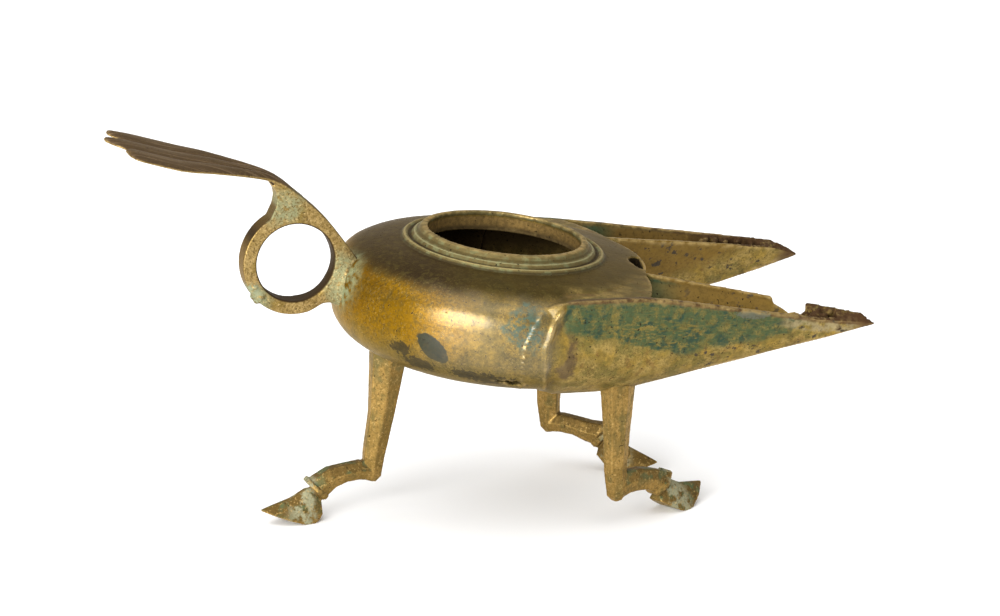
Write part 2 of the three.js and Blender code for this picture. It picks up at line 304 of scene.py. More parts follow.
# %% Sizes of the spouts
RIGHT, LEFT = -1, 1
SPOUT_ROOT = 1.5
SPOUT_KNEE = 27.5
SPOUT_BEAK = 90
CHANNEL_START = SPOUT_ROOT + 4
CHANNEL_END = 87
TIP_OFFSET = 33.5
TIP_HALF_WIDTH = 0.4
OUTER_FLARE = 0.118
INNER_FLARE = 0.2665
BEAK_THINNING = 0.5
FLOOR_SHARE = 1.5
KEEL_OFFSET = 32.5
KEEL_END = (SPOUT_TIP, TIP_LEVEL - 0.8)
KEEL = [(-6, -34.2), (SPOUT_ROOT, -35.2), (8, -35.8), (16, -35.3), (SPOUT_KNEE, -34.1)]
KEELS = {RIGHT: [*KEEL, KEEL_END], LEFT: [*KEEL, (72, -23.2), KEEL_END]}
SWELL = [(-5, 13), (SPOUT_ROOT, 16.5), (SPOUT_KNEE, 9), (60, 2.5), (SPOUT_TIP, 0)]
SWELL_POWER = 4
INNER_SWELL = 0.4
SUNK = [(-6, 6), (-2, 3.6), (2, 1.4), (6, 0)]
STATIONS = [-6, -4, -2, 0, SPOUT_ROOT, 4, 8, 14, 20, SPOUT_KNEE]
STATIONS += [36, 44, 52, 60, 68, 76, 83, SPOUT_BEAK, 94.5, SPOUT_TIP]
WALL_STEPS = 14
EDGE_HEIGHT = 0.2
TOPS = {
    RIGHT: {
        "outer": [(4, -6.2), (30, -5.2), (82, -11.2), (SPOUT_TIP, TIP_LEVEL)],
        "inner": [(35, -5), (95, -9.7), (SPOUT_TIP, TIP_LEVEL)],
    },
    LEFT: {
        "outer": [(4, -7), (30, -6.8), (92, -8.6), (SPOUT_TIP, TIP_LEVEL)],
        "inner": [(35, -5), (66, -7.6), (SPOUT_BEAK, -10), (SPOUT_TIP, TIP_LEVEL)],
    },
}
print("spout:", len(STATIONS), "sections of", 2 * WALL_STEPS + 1, "points")


# %% Sections of a spout
def spout_ring(x, side, wall=0, roof=None):
    """One section, from the inner edge down round the keel to the outer edge."""
    inset = wall * along([(SPOUT_KNEE, 1), (SPOUT_BEAK, BEAK_THINNING)], x)
    sunk = along(SUNK, x)
    outer = TIP_OFFSET + OUTER_FLARE * (SPOUT_TIP - x) + TIP_HALF_WIDTH - inset - sunk
    inner = TIP_OFFSET - INNER_FLARE * (SPOUT_TIP - x) - TIP_HALF_WIDTH + inset
    outer_top = along(TOPS[side]["outer"], x) - inset - sunk
    inner_top = along(TOPS[side]["inner"], x) - inset - sunk
    keel_offset = along([(SPOUT_KNEE, KEEL_OFFSET), (SPOUT_TIP, TIP_OFFSET)], x)
    keel_level = along(KEELS[side], x) + FLOOR_SHARE * inset + sunk
    bottom = min(keel_level, outer_top - EDGE_HEIGHT, inner_top - EDGE_HEIGHT)
    points = [(outer, roof), (inner, roof)] if roof else []
    for i in range(2 * WALL_STEPS + 1):
        down = 1 - abs(i / WALL_STEPS - 1)
        bulge = along(SWELL, x) * down * (1 - down ** SWELL_POWER)
        edge, level, out = (inner, inner_top, -INNER_SWELL) if i < WALL_STEPS else (outer, outer_top, 1)
        points.append((mix(edge, keel_offset, down) + out * bulge, mix(level, bottom, down)))
    return [Vector((x, side * y, z)) for y, z in points]


def spout(name, side, wall=0, roof=None):
    """A whole spout, or with a wall the room inside it, open to the sky where a roof is given."""
    inside = [x for x in STATIONS if CHANNEL_START < x < CHANNEL_END] + [CHANNEL_END]
    return drawn_out(name, [spout_ring(x, side, wall, roof) for x in (inside if wall else STATIONS)])


# %% [markdown]
# ## Body and spouts in one
# The lamp was poured in one go, so body and spouts are one piece with no seam. The body's round
# front is first cut back to the deck's edge between the spouts, and then the spouts are joined on.
# A Boolean join is enough here, because the remesh below melts the lines where the forms meet.

# %% Join body and spouts into one closed form
CUT_LOW = -60
CUT_HIGH = 14
OVERCUT = 1
FRONT_START = 20
FAR = 80


def front_gap(radius):
    """What is cut away between the spouts, ahead of the round front wall."""
    gap = box("gap", (FRONT_START, -KEEL_OFFSET, CUT_LOW), (FAR, KEEL_OFFSET, CUT_HIGH))
    cut(gap, cylinder("front wall", radius, CUT_LOW - OVERCUT, CUT_HIGH + OVERCUT))
    return gap


cut(reservoir, front_gap(DECK_RADIUS))
for side in TOPS:
    cut(reservoir, spout("spout", side), "UNION")
print("outer form:", len(reservoir.data.polygons), "faces")

# %% [markdown]
# ## The hollow inside
# A lamp holds oil, so its wall is cast thin. The oil room follows the outside one wall further in,
# and each spout is an open channel that the deck roofs over near the body. A copy of the closed form
# is kept aside: it tells later how deep a point lies, and a smaller copy of it trims the other pieces.

# %% Keep a copy, then hollow out the body and the channels
ROOF_CENTRE = (-24, 14)
ROOF_RADIUS = 60
closed_form = copied(reservoir, "closed form")
room = turned("oil room", round_profile(WALL, 0))
cut(room, front_gap(DECK_RADIUS - WALL))
cut(reservoir, room)
cut(reservoir, cylinder("mouth", HOLE_RADIUS, BODY_MIDDLE, CUT_HIGH))
for side in TOPS:
    roof = cylinder("roof", ROOF_RADIUS, CUT_LOW, CUT_HIGH, (ROOF_CENTRE[0], side * ROOF_CENTRE[1]))
    sky = spout("sky", side, WALL, CUT_HIGH - OVERCUT)
    cut(sky, roof)
    cut(reservoir, spout("channel", side, WALL))
    cut(reservoir, sky)
print("hollow form:", len(reservoir.data.polygons), "faces")

# %% [markdown]
# ## What time has taken
# The inner wall of the right spout has a gap, the deck has a hole behind its front edge, and
# corrosion has eaten a slit through the belly. No break is straight, so each is cut with a block of
# ragged outline that is pushed through the wall.

# %% Cut the losses
WALL_GAP = [(69.2, -6), (70.6, -9.6), (72.5, -10.4), (74.4, -11.6), (76.2, -11.2), (77.8, -11.7),
            (79, -10.9), (79.6, -6)]
DECK_BITE = [(38.8, -1.6), (38.4, -6), (37.6, -10), (36.6, -13.4), (35.8, -13), (34.8, -10.4),
             (34.4, -7.6), (34.9, -4.6), (36.6, -2.4)]
BELLY_SLIT = [(-3.6, 0.2), (-2.4, 0.5), (-1.2, 0.3), (-0.2, 1), (0.6, 2.6), (1.8, 2.9), (2.8, 1.4),
              (3.8, 0.4), (2.9, -1), (1.6, -1.5), (0.6, -0.9), (-0.8, -1.2), (-2.2, -0.7), (-3.2, -1)]
SLIT_TURN = (math.radians(-36), 0, math.radians(-9))
LOSSES = [
    dict(name="wall gap", outline=WALL_GAP, depth=12, place=(0, -27, 0), turn=(math.pi / 2, 0, 0)),
    dict(name="deck bite", outline=DECK_BITE, depth=14, place=(0, 0, -4), turn=(0, 0, 0)),
    dict(name="belly slit", outline=BELLY_SLIT, depth=8, place=(-6.9, -40.4, -30.9), turn=SLIT_TURN),
]


def ragged(name, outline, depth, place, turn):
    """A cutter with a ragged outline, pushed through along its own Z."""
    rings = [[Vector((x, y, level)) for x, y in outline] for level in (-depth / 2, depth / 2)]
    tool = drawn_out(name, rings)
    move(tool, place, turn)
    return tool


for loss in LOSSES:
    cut(reservoir, ragged(**loss))
print("after the losses:", len(reservoir.data.polygons), "faces")

# %% [markdown]
# ## Crust
# Brown crust has grown over the end of the right spout and along the outer wall of the left one.
# It is built from small squashed lumps, strewn by a seeded chance so that every run gives the same
# ones. The remesh that follows melts them into the casting.

# %% Lumps
LUMP_DIVISIONS = 2
LUMP_SQUASH = (0.6, 1.2)
chance = random.Random(7)


def lump(place, radius):
    """A pebble: a coarse ball, squashed and turned by chance."""
    pick(None)
    bpy.ops.mesh.primitive_ico_sphere_add(subdivisions=LUMP_DIVISIONS, radius=radius)
    pebble = bpy.context.object
    squash = [chance.uniform(*LUMP_SQUASH) for _ in range(3)]
    turn = [chance.uniform(0, math.pi) for _ in range(3)]
    move(pebble, place, turn, squash)
    return pebble


def crust(piece, places, radii):
    """Lumps grown on a piece at the given places."""
    for place in places:
        cut(piece, lump(place, chance.uniform(*radii)), "UNION")
    print(piece.name, "crust:", len(places), "lumps")


# %% Grow the crust in the spouts
CRUSTS = [
    dict(side=RIGHT, count=34, run=(80, 93), across=(0, 1), sunk=(-0.2, 1.4), radii=(0.7, 1.5)),
    dict(side=LEFT, count=46, run=(56, 94), across=(0.75, 1), sunk=(0, 2.2), radii=(0.5, 1.2)),
]


def channel_place(growth):
    """A point in a spout: by chance along it, across from inner to outer wall, and below its edge."""
    ring = spout_ring(chance.uniform(*growth["run"]), growth["side"], WALL)
    on_edge = ring[0].lerp(ring[-1], chance.uniform(*growth["across"]))
    return on_edge - Vector((0, 0, chance.uniform(*growth["sunk"])))


crust_places = [[channel_place(growth) for _ in range(growth["count"])] for growth in CRUSTS]
for growth, places in zip(CRUSTS, crust_places):
    crust(reservoir, places, growth["radii"])


# %% [markdown]
# ## One casting
# Sharp modelled edges would look machined. A voxel remesh turns the whole form into one even skin,
# a little smoothing wears its edges, and two layers of cloudy displacement give the slightly uneven
# surface of a casting. Flat stretches need fewer faces, so a Decimate step thins them out.

# %% Cleaning a mesh
SLIVER = 0.02


def shed_crumbs(piece):
    """Keeps the largest body of a mesh and throws away what floats loose beside it."""
    pick(piece)
    bpy.ops.object.mode_set(mode="EDIT")
    bpy.ops.mesh.separate(type="LOOSE")
    bpy.ops.object.mode_set(mode="OBJECT")
    bodies = list(bpy.context.selected_objects)
    piece.data = max(bodies, key=lambda body: len(body.data.polygons)).data
    for crumb in bodies:
        if crumb != piece:
            bpy.data.objects.remove(crumb)
    print(piece.name, "crumbs shed:", len(bodies) - 1)


def drop_slivers(piece):
    """Dissolves edges and faces that are next to nothing."""
    pick(piece)
    bpy.ops.object.mode_set(mode="EDIT")
    bpy.ops.mesh.select_all(action="SELECT")
    bpy.ops.mesh.dissolve_degenerate(threshold=SLIVER)
    bpy.ops.object.mode_set(mode="OBJECT")


# %% Melt, smooth and roughen
SMOOTHING = 0.5
SWELL_SIZE = 9
GRAIN_SIZE = 1.3
CLOUD_DEPTH = 2


def roughen(piece, name, size, strength):
    """Pushes the skin in and out by a cloud pattern of the given size."""
    texture = bpy.data.textures.get(name) or bpy.data.textures.new(name, "CLOUDS")
    texture.noise_scale = size
    texture.noise_depth = CLOUD_DEPTH
    use(piece, "DISPLACE", texture=texture, strength=strength, texture_coords="LOCAL")


def melt(piece, voxel):
    use(piece, "REMESH", mode="VOXEL", voxel_size=voxel)


def cast(piece, voxel, faces, softening=2, swell=0.1, grain=0.04, relief=None):
    """Turns a built-up form into one worn casting of about so many faces."""
    melt(piece, voxel)
    shed_crumbs(piece)
    use(piece, "SMOOTH", factor=SMOOTHING, iterations=softening)
    if relief:
        relief(piece)
    roughen(piece, "cast swell", SWELL_SIZE, swell)
    roughen(piece, "cast grain", GRAIN_SIZE, grain)
    triangles = 2 * len(piece.data.polygons)
    use(piece, "DECIMATE", ratio=min(1, faces / triangles))
    drop_slivers(piece)
    print(piece.name, "cast:", triangles, "triangles, kept", len(piece.data.polygons))


# %% [markdown]
# ## Collar at the spout's root
# A band with a beaded ridge at its back and a smooth ridge at its front runs down each side, where
# the spout leaves the body. It stands less than a millimetre proud, so it is worked into the cast
# skin itself: each point is pushed out along its normal by as much as the ridges ask for there.

# %% Reading and averaging points
def read(piece, name):
    """The place (co) or the normal of every point, as rows of three numbers."""
    values = np.empty(len(piece.data.vertices) * 3)
    piece.data.vertices.foreach_get(name, values)
    return values.reshape(-1, 3)


def write(piece, points):
    piece.data.vertices.foreach_set("co", points.ravel())
    piece.data.update()


def neighbour_mean(piece, values):
    """The mean of each point's neighbours along its edges."""
    ends = np.empty(len(piece.data.edges) * 2, dtype=int)
    piece.data.edges.foreach_get("vertices", ends)
    first, second = ends.reshape(-1, 2).T
    total = np.zeros_like(values)
    np.add.at(total, first, values[second])
    np.add.at(total, second, values[first])
    count = np.bincount(ends, minlength=len(values))
    return total / count.reshape(-1, *[1] * (values.ndim - 1))


def ease(low, high, values):
    """The soft climb from low to high again, for whole rows of numbers."""
    t = np.clip((values - low) / (high - low), 0, 1)
    return t * t * (3 - 2 * t)


def hump(values, width):
    return np.exp(-(values / width) ** 2)


# %% Work the collar into the skin
BACK_RIDGE = [(-34, -2), (-31.2, -3.4), (-27, -5.2), (-19, -5.2), (-13, -3), (-8.2, -0.4), (-5, 1)]
FRONT_RIDGE = [(-34, 4.6), (-31, 3), (-27, 1.2), (-19, 0.6), (-13, 2), (-8.2, 4.4), (-5, 5.6)]
COLLAR_TOP = (-6.5, -10)
COLLAR_FOOT = (-36, -31)
COLLAR_OFFSET = 22
OUTWARD = (0.25, 0.6)
UNDERSIDE_SHARE = 0.6
BEAD_LENGTH = 1.7
BEAD_WANDER = 1.3
BEAD_DEPTH = 0.4
BACK_HEIGHT, BACK_WIDTH = 0.42, 0.6
BAND_HEIGHT, BAND_EDGE = 0.2, (-1.2, 0.8)
FRONT_HEIGHT, FRONT_WIDTH = 0.75, 1
GROOVE_DEPTH, GROOVE_WIDTH, GROOVE_AHEAD = 0.4, 1.3, 2.6


def collar(piece):
    points = read(piece, "co")
    normals = read(piece, "normal")
    run, level = points[:, 0], points[:, 2]
    back = run - np.interp(level, *zip(*BACK_RIDGE))
    front = run - np.interp(level, *zip(*FRONT_RIDGE))
    outward = normals[:, 1] * np.sign(points[:, 1]) - UNDERSIDE_SHARE * normals[:, 2]
    place = ease(*OUTWARD, outward) * ease(*COLLAR_TOP, level) * ease(*COLLAR_FOOT, level)
    place *= np.abs(points[:, 1]) > COLLAR_OFFSET
    wave = np.sin(level * 2 * math.pi / BEAD_LENGTH + 2 * np.sin(level / BEAD_WANDER))
    beads = (1 - BEAD_DEPTH) + BEAD_DEPTH * wave
    band = ease(*BAND_EDGE, back) * ease(-BAND_EDGE[0], -BAND_EDGE[1], front)
    push = BACK_HEIGHT * hump(back, BACK_WIDTH) * beads + BAND_HEIGHT * band
    ridge = FRONT_HEIGHT * hump(front, FRONT_WIDTH)
    groove = GROOVE_DEPTH * hump(front - GROOVE_AHEAD, GROOVE_WIDTH)
    push += ridge - groove
    write(piece, points + normals * (push * place)[:, None])
    print("collar: raised up to", round(float((push * place).max()), 2), "mm")


RESERVOIR_VOXEL = 0.34
RESERVOIR_FACES = 190000
cast(reservoir, RESERVOIR_VOXEL, RESERVOIR_FACES, softening=1, swell=0.16, grain=0.05, relief=collar)

# %% [markdown]
# ## Setting the body on its slant
# The finished reservoir is tipped forward and lifted to its place once. The closed form goes with
# it. A copy that is a hair smaller trims the legs and the handle, so that they reach just into the
# body's wall and no gap shows at the joints.

# %% Tip the body and make the trimming core
CORE_SHARE = 0.985
for piece in (reservoir, closed_form):
    move(piece, BODY_PLACE, (0, LEAN, 0))
core = copied(closed_form, "trimming core")
body_middle = Vector((SHIFT, 0, LIP_HEIGHT + BODY_MIDDLE))
move(core, body_middle * (1 - CORE_SHARE), scale=(CORE_SHARE,) * 3)
print("body set at", [round(value, 2) for value in BODY_PLACE], "leaning", round(math.degrees(LEAN), 1))

# %% [markdown]
# ## Legs
# A leg is a faceted bar with a ridge along each side. It drops from the body to the hock, turns into
# a bowed shank, and ends in a thin cuff and a hoof whose toe is drawn out and curls up. All three
# are the same bar, so one function draws them with each leg's own reach and turn.

# %% Sizes of the legs
FOOT_LENGTH = 33.3
HEEL = 16.4
THIGH_TOP = 47
LEGS = {
    "rear_leg": dict(place=(-36.4, 0), turn=180, foot=33.3, lean=-3.2, hock=9.8,
                     contact=(18, 21.6), heel=2, toe=3.8, arch=13.2, depth=2.6),
    "front_leg_right": dict(place=(21.1, -32), turn=31, foot=36.8, lean=2.2, hock=8.4,
                            contact=(22.6, 26.2), heel=4, toe=4.6, arch=12.7, depth=3.2),
    "front_leg_left": dict(place=(21.1, 32), turn=-40, foot=34.4, lean=2.2, hock=8.4,
                           contact=(22.6, 26.2), heel=4, toe=3.2, arch=11.4, depth=2.6),
}
BAR_SECTION = [(1, -0.55), (0, -1), (-1, -0.55), (-1, 0.55), (0, 1), (1, 0.55)]
CUFF = [(17.2, 9.6, 3.8, 3.6), (18.2, 8.6, 3.8, 3.6)]
HOOF_SPREAD = [(HEEL, 2.4), (18.4, 3.6), (22, 4.6), (26, 4.5), (30, 3), (FOOT_LENGTH, 0.5)]
HOOF_TOP = [(HEEL, 6.4), (18.4, 9.6), (21, 9.4), (25, 7)]
TOE_THICKNESS = 0.5
HOOF_STEPS = 16
HOOF_ARC = 11
HOOF_ROUNDING = 1.3
HOOF_PINCH = 0.62
print("legs:", ", ".join(LEGS))


# %% Bar and hoof
def bar(name, stations):
    """A six-sided bar through [run, height, half depth, half width] stations."""
    rings = []
    for i, (run, height, depth, width) in enumerate(stations):
        before = stations[max(i - 1, 0)]
        after = stations[min(i + 1, len(stations) - 1)]
        ahead = Vector((after[0] - before[0], after[1] - before[1])).normalized()
        ring = []
        for front, side in BAR_SECTION:
            rise = front * depth
            ring.append(Vector((run - rise * ahead.y, side * width, height + rise * ahead.x)))
        rings.append(ring)
    return drawn_out(name, rings)


def hoof(shape):
    low, high = shape["contact"]
    sole_line = [(HEEL, shape["heel"]), (low, 0), (high, 0), (FOOT_LENGTH, shape["toe"])]
    top_line = [*HOOF_TOP, (FOOT_LENGTH, shape["toe"] + TOE_THICKNESS)]
    rings = []
    for run in np.linspace(HEEL, FOOT_LENGTH, HOOF_STEPS):
        sole, top, width = along(sole_line, run), along(top_line, run), along(HOOF_SPREAD, run)
        ring = []
        for angle in np.linspace(0, 180, HOOF_ARC):
            across = math.cos(math.radians(angle))
            rise = math.sin(math.radians(angle)) ** HOOF_ROUNDING
            pinch = mix(1, HOOF_PINCH, rise)
            ring.append(Vector((run, across * width * pinch, mix(sole, top, rise))))
        rings.append(ring)
    return drawn_out("hoof", rings)


# %% Draw the three legs
LEG_VOXEL = 0.25
LEG_FACES = 60000


def leg(name, shape):
    lean, hock, arch, depth = shape["lean"], shape["hock"], shape["arch"], shape["depth"]
    thigh = [(lean, THIGH_TOP, 4.9, 4.3), (mix(lean, 1.2, 0.5), 29, 3.4, 3.2), (1.3, 17, 2.9, 2.6),
             (1.8, hock + 1.6, 2.4, 2.4), (2.2, hock, 1.4, 1.4)]
    shank = [(0.8, hock + depth, depth - 0.2, 2.3), (5.5, arch, depth, 2.5),
             (9.4, arch - 0.4, depth - 0.1, 2.6), (13.4, arch - 1.4, 2.9, 2.8),
             (16.4, 9.8, 3.2, 3), (18.2, 8.4, 3.4, 3.2)]
    piece = bar(name, thigh)
    for other in (bar("shank", shank), bar("cuff", CUFF), hoof(shape)):
        cut(piece, other, "UNION")
    x, y = shape["place"]
    stretch = (shape["foot"] / FOOT_LENGTH, 1, 1)
    move(piece, (x + SHIFT, y, 0), (0, 0, math.radians(shape["turn"])), stretch)
    combine(piece, core, "DIFFERENCE")
    cast(piece, LEG_VOXEL, LEG_FACES)
    return piece


legs = {name: leg(name, shape) for name, shape in LEGS.items()}

# %% [markdown]
# ## Leaf of the thumb rest
# Over the ring the thumb rest springs up as a leaf of three lobes, thin at the root and spread at
# the end. Each lobe is one crowned section, extruded along the leaf's spine. The lobes overlap a
# little, so the lines where they meet become the leaf's two grooves.

# %% Spine of the leaf
LEAF_SPINE = [(-41, 72.5), (-51.2, 86.9), (-59.6, 94.8), (-67.5, 99.8), (-81.8, 104.5),
              (-93.6, 107.5), (-112, 113.6)]
SPINE_STEPS = 200
CURVE_STEPS = 24


def curve_points(stops, count):
    """Points at even steps along a smooth line through the stops."""
    fine = []
    padded = [stops[0], *stops, stops[-1]]
    for a, b, c, d in zip(padded, padded[1:], padded[2:], padded[3:]):
        a, b, c, d = Vector(a), Vector(b), Vector(c), Vector(d)
        for t in np.linspace(0, 1, CURVE_STEPS, endpoint=False):
            fine.append(0.5 * (2 * b + (c - a) * t + (2 * a - 5 * b + 4 * c - d) * t ** 2
                               + (3 * b - a - 3 * c + d) * t ** 3))
    fine.append(Vector(stops[-1]))
    run = np.concatenate([[0], np.cumsum([(q - p).length for p, q in zip(fine, fine[1:])])])
    even = np.linspace(0, run[-1], count)
    xs = np.interp(even, run, [p.x for p in fine])
    ys = np.interp(even, run, [p.y for p in fine])
    return [Vector(point) for point in zip(xs, ys)]


SPINE = curve_points(LEAF_SPINE, SPINE_STEPS + 1)
print("leaf spine:", len(SPINE), "points")

# %% Lobes of the leaf
LEAF_SPREAD = [(0.36, 2.9), (0.45, 3.8), (0.63, 10), (0.78, 14)]
LEAF_THICKNESS = 2.2
LEAF_START = (0.3, 0.46)
THIN_START = 0.15
LEAF_LOBES = [(0, 1, False), (1, 0.965, False), (-1, 0.95, True)]
LOBE_RINGS = 40
LOBE_OVERLAP = 1.16
LOBE_CROWN = (0.35, 0.5)
LOBE_SECTION = [(across, 0.95 - 1.05 * across ** 2) for across in np.linspace(-1, 1, 9)]
LOBE_SECTION += [(1, -0.6), (-1, -0.6)]
BLUNT_END = 0.025
POINTED_END = 0.1
END_SLACK = 0.004


def leaf_lobe(side, reach, blunt):
    """One of three lobes side by side, as far along the spine as it reaches."""
    rings = []
    for t in np.linspace(LEAF_START[0], reach, LOBE_RINGS):
        number = min(int(t * SPINE_STEPS), SPINE_STEPS - 1)
        at = SPINE[number].lerp(SPINE[number + 1], t * SPINE_STEPS - number)
        ahead = (SPINE[number + 1] - SPINE[number]).normalized()
        half = along(LEAF_SPREAD, t)
        taper = math.sqrt(min(1, (reach + END_SLACK - t) / (BLUNT_END if blunt else POINTED_END)))
        width = half / 3 * LOBE_OVERLAP * taper
        crown = LEAF_THICKNESS * mix(*LOBE_CROWN, taper) * mix(THIN_START, 1, smooth(*LEAF_START, t))
        middle = side * half * 2 / 3
        rings.append([Vector((at.x + ahead.y * crown * rise, middle + across * width,
                              at.y - ahead.x * crown * rise)) for across, rise in LOBE_SECTION])
    return drawn_out("lobe", rings)


# %% [markdown]
# ## Ring and web
# The ring that a finger goes through is a flat band, and a web of the same thickness carries it on
# the body and holds up the leaf. Both are one plate, drawn as an outline and extruded across, with
# the finger's hole cut through it.

# %% Ring, web and leaf
RING_CENTRE = (-60, 75.1)
RING_HOLE = 10.9
RING_RADIUS = 14.7
RING_THICKNESS = 5.8
RING_ARC = (-58, -242, 40)
FINGER_REACH = 20
WEB_FOOT = [(-38, 62), (-51, 62.6)]
WEB_BACK = [(-65.4, 91.2), (-64.9, 93.6), (-65.2, 95.6), (-66.4, 97.6)]
WEB_END = (-36, 70)
SPINE_STRIDE = 8


def plate(name, outline, thickness):
    rings = [[Vector((x, y, z)) for x, z in outline] for y in (-thickness / 2, thickness / 2)]
    return drawn_out(name, rings)


def ring_point(reach, angle):
    """A point at some reach from the ring's centre, by its angle in radians."""
    return RING_CENTRE[0] + reach * math.cos(angle), RING_CENTRE[1] + reach * math.sin(angle)


ring_outline = [ring_point(RING_RADIUS, math.radians(angle)) for angle in np.linspace(*RING_ARC)]
under_leaf = [(point.x, point.y) for point in SPINE[::SPINE_STRIDE] if point.x > WEB_BACK[-1][0]]
web_outline = [*WEB_FOOT, *ring_outline, *WEB_BACK, *reversed(under_leaf), WEB_END]
handle = plate("handle", web_outline, RING_THICKNESS)
finger = cylinder("finger", RING_HOLE, -FINGER_REACH, FINGER_REACH)
move(finger, (RING_CENTRE[0], 0, RING_CENTRE[1]), (math.pi / 2, 0, 0))
cut(handle, finger)
for lobe in LEAF_LOBES:
    cut(handle, leaf_lobe(*lobe), "UNION")
print("handle:", len(handle.data.polygons), "faces")

# %% [markdown]
# ## Fillet and knob
# Where the ring meets the body, corrosion has filled the corner with a pale fillet, and a knob of it
# clings to the ring below. The fillet is a short bar that spreads towards the body, and the knob is
# grown from the same lumps as the crust.

# %% Join the fillet and the knob on
ROOT_LEVEL = 66.6
ROOT_SPREAD = [(-51.2, 2.2, 3.4), (-49.6, 2.9, 4.6), (-48.2, 3.6, 5.8), (-47, 4.4, 6.8),
               (-45.8, 5.3, 7.4), (-40, 7, 8)]
FILLET_SIDES = 24
KNOB_LUMPS = 16
KNOB_ANGLES = (200, 228)
KNOB_REACH = (12.8, 15)
KNOB_ACROSS = (-3.1, -0.5)
KNOB_RADII = (0.6, 1.3)


def fillet_ring(run, half_width, half_height):
    angles = [2 * math.pi * i / FILLET_SIDES for i in range(FILLET_SIDES)]
    return [Vector((run, half_width * math.cos(a), ROOT_LEVEL + half_height * math.sin(a)))
            for a in angles]


cut(handle, drawn_out("fillet", [fillet_ring(*spread) for spread in ROOT_SPREAD]), "UNION")
knob = []
for _ in range(KNOB_LUMPS):
    angle = math.radians(chance.uniform(*KNOB_ANGLES))
    x, z = ring_point(chance.uniform(*KNOB_REACH), angle)
    knob.append((x, chance.uniform(*KNOB_ACROSS), z))
crust(handle, knob, KNOB_RADII)
move(handle, (SHIFT, 0, 0))

# %% [markdown]
# ## A soft root
# The real fillet runs into ring and body with no corner. A bevel can't follow forms that cross like
# these, so the handle is melted once, and the points near the fillet are drawn towards their
# neighbours again and again. Then the body's form is trimmed off and the handle is cast.

# %% Soften the fillet and cast the handle
FILLET_CENTRE = (-48 + SHIFT, 0, 68)
FILLET_REACH = (12, 6)
FILLET_PULL = 0.5
FILLET_ROUNDS = 60
FIRST_VOXEL = 0.3
HANDLE_VOXEL = 0.26
HANDLE_FACES = 110000


def soften_fillet(piece):
    """Wears the skin round the fillet until its corners are gone."""
    points = read(piece, "co")
    far = np.linalg.norm(points - FILLET_CENTRE, axis=1)
    share = FILLET_PULL * ease(*FILLET_REACH, far)[:, None]
    for _ in range(FILLET_ROUNDS):
        points += share * (neighbour_mean(piece, points) - points)
    write(piece, points)


melt(handle, FIRST_VOXEL)
soften_fillet(handle)
combine(handle, core, "DIFFERENCE")
cast(handle, HANDLE_VOXEL, HANDLE_FACES)


# %% [markdown]
# ## Reading the wear off the shape
# Old bronze shows its shape in its colours: raised edges are rubbed bright, corners hold dirt, and
# the inside was never polished. A few numbers per point say so. They are worked out from the mesh
# and kept as attributes that the materials can read: edge and up on every piece, depth on the
# reservoir and hoof on the legs.

# %% Keep wear as attributes
WEAR_REACH = 4
WEAR_STRENGTH = 6
HOOF_START = (17.4, 19.4)
HOOF_END = (28, 23.5)


def keep(piece, name, values):
    attribute = piece.data.attributes.new(name, "FLOAT", "POINT")
    attribute.data.foreach_set("value", values.astype(np.float32))


def keep_wear(piece):
    """Edge is 1 on a rubbed ridge, 0 in a dirty corner and a half on an even face."""
    points, normals = read(piece, "co"), read(piece, "normal")
    bend = ((points - neighbour_mean(piece, points)) * normals).sum(axis=1)
    for _ in range(WEAR_REACH):
        bend = neighbour_mean(piece, bend)
    keep(piece, "edge", np.clip(0.5 + WEAR_STRENGTH * bend, 0, 1))
    keep(piece, "up", normals[:, 2])


def keep_depth(piece):
    """How far each point lies from the closed form's skin, in millimetres."""
    tree = BVHTree.FromObject(closed_form, bpy.context.evaluated_depsgraph_get())
    depth = np.array([tree.find_nearest(vertex.co)[3] for vertex in piece.data.vertices])
    keep(piece, "depth", depth)


def keep_hoof(piece, shape):
    """1 round the middle of the hoof, 0 on the rest of the leg."""
    x, y = shape["place"]
    turn = math.radians(shape["turn"])
    points = read(piece, "co")
    run = (points[:, 0] - x - SHIFT) * math.cos(turn) + (points[:, 1] - y) * math.sin(turn)
    run *= FOOT_LENGTH / shape["foot"]
    keep(piece, "hoof", ease(*HOOF_START, run) * ease(*HOOF_END, run))


for piece in (reservoir, handle, *legs.values()):
    keep_wear(piece)
for name, piece in legs.items():
    keep_hoof(piece, LEGS[name])
keep_depth(reservoir)
print("wear kept on", 2 + len(legs), "pieces")


# %% [markdown]
# ## Shader sums
# A node tree is easier to read as a sum. This small class wraps one socket, so that masks can be
# added and multiplied like numbers, and one method makes any other node.

